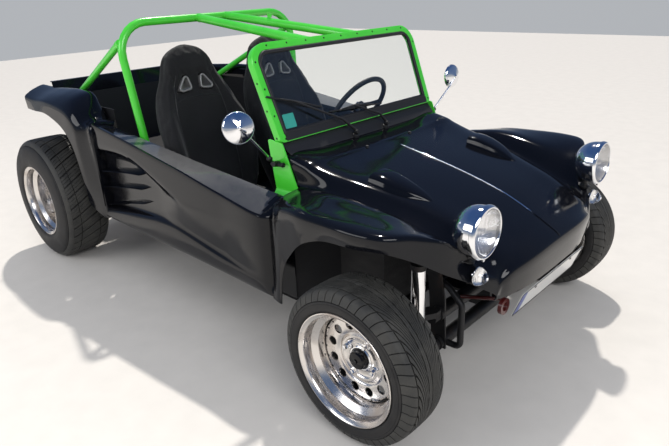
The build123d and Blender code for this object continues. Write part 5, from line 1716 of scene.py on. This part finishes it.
def sink_seams(mesh, depth=0.0028, reach=0.011):
    points = coordinates(mesh)
    normals = np.array([tuple(v.normal) for v in mesh.vertices])
    local = points * 1000 - back_foot
    u, v, out = local[:, 1], local @ back_up, local @ back_out
    w = np.interp(v, *zip(*half_width))
    front = (out > -30) & (v > 30) & (normals @ back_out > 0.1)
    side_gap = np.abs(np.abs(u) - w * seam_share)
    side_gap[(v > 780) | ~front] = 99
    cross_gap = np.abs(v - head_seam(u))
    cross_gap[(np.abs(u) > SEAM_SIDE) | ~front] = 99
    on_cushion = (points[:, 0] > -0.08) & (points[:, 2] > 0.34) & (normals[:, 2] > 0.2)
    cushion_gap = np.abs(np.abs(points[:, 1] * 1000) - CUSHION_SIDE)
    cushion_gap[~on_cushion | (points[:, 0] > 0.235)] = 99
    cushion_cross = np.abs(points[:, 0] * 1000 - CUSHION_FRONT)
    cushion_cross[~on_cushion | (np.abs(points[:, 1]) > CUSHION_SIDE / 1000)] = 99
    gap = np.minimum(np.minimum(side_gap, cross_gap), np.minimum(cushion_gap, cushion_cross)) / 1000
    sink = depth * np.exp(-((gap / (reach * 0.6)) ** 2))
    points -= normals * sink[:, None]
    mesh.vertices.foreach_set("co", points.ravel())
    mesh.update()


sink_seams(seat_form.data)

seat_tree = BVHTree.FromPolygons(
    [v.co for v in seat_form.data.vertices], [tuple(p.vertices) for p in seat_form.data.polygons]
)


def on_seat(start, way, lift):
    """The seat's surface below a start point, lifted back along the ray, in millimetres."""
    hit = seat_tree.ray_cast(Vector(start) / 1000, Vector(way))
    if hit[0] is None:
        return None
    return np.array(hit[0]) * 1000 - np.array(way) * lift


def laid(points, way, lift):
    line = [on_seat(p, way, lift) for p in points]
    return [p for p in line if p is not None]


on_back = [[p for p in line if p[1] > 130] for line in seam_lines] + [across_head]
starts = [[back_foot + [0, u, 0] + back_up * v + back_out * 200 for u, v in line] for line in on_back]
runs = [(line, tuple(-back_out)) for line in starts]
ahead = np.linspace(-20, CUSHION_FRONT, 20)
runs += [([(x, side * CUSHION_SIDE, 700) for x in ahead], (0, 0, -1)) for side in (-1, 1)]
across = np.linspace(-CUSHION_SIDE, CUSHION_SIDE, 20)
runs.append(([(CUSHION_FRONT, y, 700) for y in across], (0, 0, -1)))
piping = [pipe(laid(line, way, 0.6), 2.6, 0, 8) for line, way in runs]
slot_rims = []
for side in (-1, 1):
    inner = [(side * u, v) for u, v in rounded([(33, 701), (103, 691), (46, 765)], 8, 6)]
    outer = [(side * u, v) for u, v in rounded([(28, 696), (111, 686), (43, 776)], 13, 6)]
    ring_line = [back_foot + [0, u, 0] + back_up * v + back_out * 4.5 for u, v in outer]
    slot_rims.append(pipe(ring_line, 5.2, 0, 12, True))
    if side < 0:
        inner, outer = inner[::-1], outer[::-1]
    slot_rims.append(flat_ring(outer, inner, back_foot - back_out * 78, (0, 1, 0), back_up, 84))
print("piping runs", len(piping))

# %% Place both seats
seat_points = coordinates(seat_form.data) * 1000
seat_faces = [tuple(p.vertices) for p in seat_form.data.polygons]
bpy.data.objects.remove(seat_form)
for side, y in (("left", 275), ("right", -275)):
    pad = piece(f"bucket_seat_{side}", moved((seat_points, seat_faces), 0, y), cloth, 70, "seat_fabric",
                f"seat_{side}")
    piece(f"seat_piping_{side}", moved(joined(*piping), 0, y), seat_piping, 60, "seat_fabric")
    piece(f"seat_slot_rims_{side}", moved(joined(*slot_rims), 0, y), rim_grey, 50, "seat_fabric")
    rails = []
    for s in (-1, 1):
        rail = rounded([(-110, 0), (190, 0), (190, 22), (176, 58), (-100, 44), (-110, 30)], 5)
        rails.append(prism(rail, (0, y + s * 140 + 4, 254.4), (1, 0, 0), (0, 0, 1), 4))
        rails.append(pipe([(-112, y + s * 140, 260), (196, y + s * 140, 260)], 9, 0, 12))
    piece(f"seat_runners_{side}", rails, clean_metal, 30, "chassis_black")
print("seats placed")

# %% [markdown]
# ## Steering wheel, frame and engine
#
# The rest keeps its CAD shape: the axle, gearbox, floor, tub and engine are the right forms already, so
# they only take their finishes. A small steering wheel replaces the plain one, with a padded rim and three
# drilled spokes.

# %% Steering wheel
WHEEL = np.array([300.0, 300.0, 872.0])
WHEEL_RADIUS = 175
column_way = np.array([cos(radians(33)), 0, -sin(radians(33))])
towards = tuple(-column_way)
wheel_u = np.array([0.0, 1.0, 0.0])
wheel_v = np.cross(-column_way, wheel_u)


def on_wheel(u, v, out=0.0):
    return WHEEL + wheel_u * u + wheel_v * v - column_way * out


rim_points, rim_sizes = [], []
for k in range(120):
    a = 2 * pi * k / 120
    rim_points.append(on_wheel(WHEEL_RADIUS * cos(a), WHEEL_RADIUS * sin(a)))
    thumb = sum(rise_between(1 - abs((degrees(a) - spot + 180) % 360 - 180) / 16, 0, 1) for spot in (35, 145))
    rim_sizes.append(12.8 + 1.1 * thumb + 0.25 * cos(40 * a))
wheel_rim = pipe(rim_points, rim_sizes, 0, 18, True)
spoke_outline = ((26, -19), (90, -13), (168, -17), (168, 17), (90, 13), (26, 19))
spokes = []
for turn in (0, 90, 180):
    way_u = np.array([cos(radians(turn)), sin(radians(turn))])
    way_v = np.array([-way_u[1], way_u[0]])

    def spoke_point(a, b):
        return tuple(way_u * a + way_v * b)

    outline = [spoke_point(a, b) for a, b in spoke_outline]
    spokes.append(prism(outline, on_wheel(0, 0, -0.5), wheel_u, wheel_v, 3.4))
    for reach, size in ((62, 8), (92, 7), (120, 6)):
        u, v = spoke_point(reach, 0)
        ring = [(2.9, size), (3.9, size + 1.6), (3.4, size + 3.2), (2.9, size + 3.2)]
        spokes.append(turned(ring, on_wheel(u, v), towards, 24, True))
hub_line = [(-34, 30), (-8, 31), (0, 36), (6, 34), (9, 28), (12, 26), (14, 20), (15, 0)]
hub = turned(hub_line, WHEEL, towards, 48)
shaft = turned([(-120, 9), (-34, 9), (-34, 9)], WHEEL, towards, 24)
bolt_line = [(5, 3.4), (11.5, 3.4), (12.5, 2), (12.5, 0)]
bolt_spots = [on_wheel(29 * cos(a), 29 * sin(a)) for a in np.linspace(0, 2 * pi, 6, endpoint=False)]
bolts = joined(*[turned(bolt_line, spot, towards, 6) for spot in bolt_spots])
piece("steering_rim", wheel_rim, grip_leather, 60, "seal_rubber", "steering_wheel", body="hand_wheel")
piece("steering_spokes", joined(*spokes, hub, shaft), clean_metal, 30, "chassis_black", body="hand_wheel")
piece("steering_hub_bolts", bolts, bright, 30, "chrome_trim", body="hand_wheel")
print("steering wheel ready")

# %% Finishes for the nodes that keep their shape
dress(moulding, "cabin_tub", "dash_panel", "floor_pan")
dress(black_paint, "rear_panel")
dress(chassis_metal, "front_axle", "rear_suspension", "steering_box", "track_rods", "knuckle_left",
      "knuckle_right")
dress(clean_metal, "front_guard", "steering_column", "gear_lever", "fan_shroud")
dress(rusty_drum, "front_drum_left", "front_drum_right", "rear_drum_left", "rear_drum_right")
dress(alloy, "transaxle", "engine")
dress(steel, "exhaust")
dress(bright, "front_dampers")
# The tow eye takes the red that is darkened with painted shade.
dress(shade_darkened_red_paint, "tow_eye")

# %% [markdown]
# ## Camera, floor and light
#
# The camera stands in front of the car's right side, a little above the bonnet, where the photograph was
# taken. Its position, turn and lens come from fitting it to the wheels, the windscreen and the lamps. A
# black gloss body shows nothing but its surroundings, so the world is a pale horizon under a blue sky, and
# a low sun throws the hard shadow that the photograph has.

# %% Camera and stage
cam_data = bpy.data.cameras.new("camera")
cam_data.sensor_width = 36
cam_data.lens = 31.52
cam_data.dof.use_dof = False
camera = bpy.data.objects.new("camera", cam_data)
bpy.context.collection.objects.link(camera)
camera_place = (2.4737, -1.9883, 1.4702)
yaw, pitch, roll = radians(134.1124), radians(22.2219), radians(-2.4457)
ahead = Vector((cos(yaw) * cos(pitch), sin(yaw) * cos(pitch), -sin(pitch)))
right = ahead.cross(Vector((0, 0, 1))).normalized()
up = right.cross(ahead)
turned_right = cos(roll) * right + sin(roll) * up
turned_up = -sin(roll) * right + cos(roll) * up
camera.matrix_world = Matrix.Translation(camera_place) @ Matrix(
    (turned_right, turned_up, -ahead)
).transposed().to_4x4()
bpy.context.scene.camera = camera
bpy.context.scene.view_settings.view_transform = "Standard"

reach = 14
stage_mesh = bpy.data.meshes.new("floor")
stage_mesh.from_pydata(
    [(-reach, -reach, 0), (reach, -reach, 0), (reach, reach, 0), (-reach, reach, 0)], [], [(0, 1, 2, 3)]
)
floor = bpy.data.objects.new("floor", stage_mesh)
bpy.context.collection.objects.link(floor)
floor_tree = Tree("pale_floor")
grain = floor_tree.noise(9.0, 4.0)
floor.data.materials.append(
    floor_tree.finish(
        Base_Color=floor_tree.mix(grain, colour(0.60, 0.58, 0.55), colour(0.68, 0.655, 0.62)),
        Roughness=0.85,
    )
)


def studio_light(name, kind, energy, place, aim, size=1.0, shade=(1, 1, 1)):
    data = bpy.data.lights.new(name, kind)
    data.energy = energy
    data.color = shade
    if kind == "AREA":
        data.shape = "RECTANGLE"
        data.size = size
        data.size_y = size * 0.6
    else:
        data.angle = size
    light = bpy.data.objects.new(name, data)
    bpy.context.collection.objects.link(light)
    light.location = place
    light.rotation_euler = (Vector(aim) - Vector(place)).to_track_quat("-Z", "Y").to_euler()
    return light


studio_light("sun", "SUN", 2.9, (-2.0, 2.6, 5.0), (0, 0, 0), 0.03, (1.0, 0.95, 0.88))
studio_light("softbox_front", "AREA", 110, (4.8, -2.0, 3.6), (0.4, 0, 0.4), 3.0)
studio_light("softbox_side", "AREA", 90, (-1.5, -5.0, 3.0), (0, 0, 0.5), 3.5)

world = bpy.data.worlds.new("sky_and_horizon")
bpy.context.scene.world = world
world.use_nodes = True
wn, wl = world.node_tree.nodes, world.node_tree.links
background = wn["Background"]
seen = wn.new("ShaderNodeTexCoord")
split = wn.new("ShaderNodeSeparateXYZ")
wl.new(seen.outputs["Generated"], split.inputs[0])
stops = wn.new("ShaderNodeValToRGB")
wl.new(split.outputs["Z"], stops.inputs[0])
stops.color_ramp.elements[0].position = 0.0
stops.color_ramp.elements[0].color = colour(0.52, 0.54, 0.57)
stops.color_ramp.elements[1].position = 0.75
stops.color_ramp.elements[1].color = colour(0.045, 0.10, 0.26)
haze = stops.color_ramp.elements.new(0.18)
haze.color = colour(0.15, 0.22, 0.37)
rays = wn.new("ShaderNodeLightPath")
plain = wn.new("ShaderNodeMix")
plain.data_type = "RGBA"
wl.new(rays.outputs["Is Diffuse Ray"], plain.inputs[0])
wl.new(stops.outputs[0], plain.inputs[6])
plain.inputs[7].default_value = colour(0.62, 0.64, 0.70)
wl.new(plain.outputs[2], background.inputs["Color"])
background.inputs["Strength"].default_value = 0.85
print("stage ready")
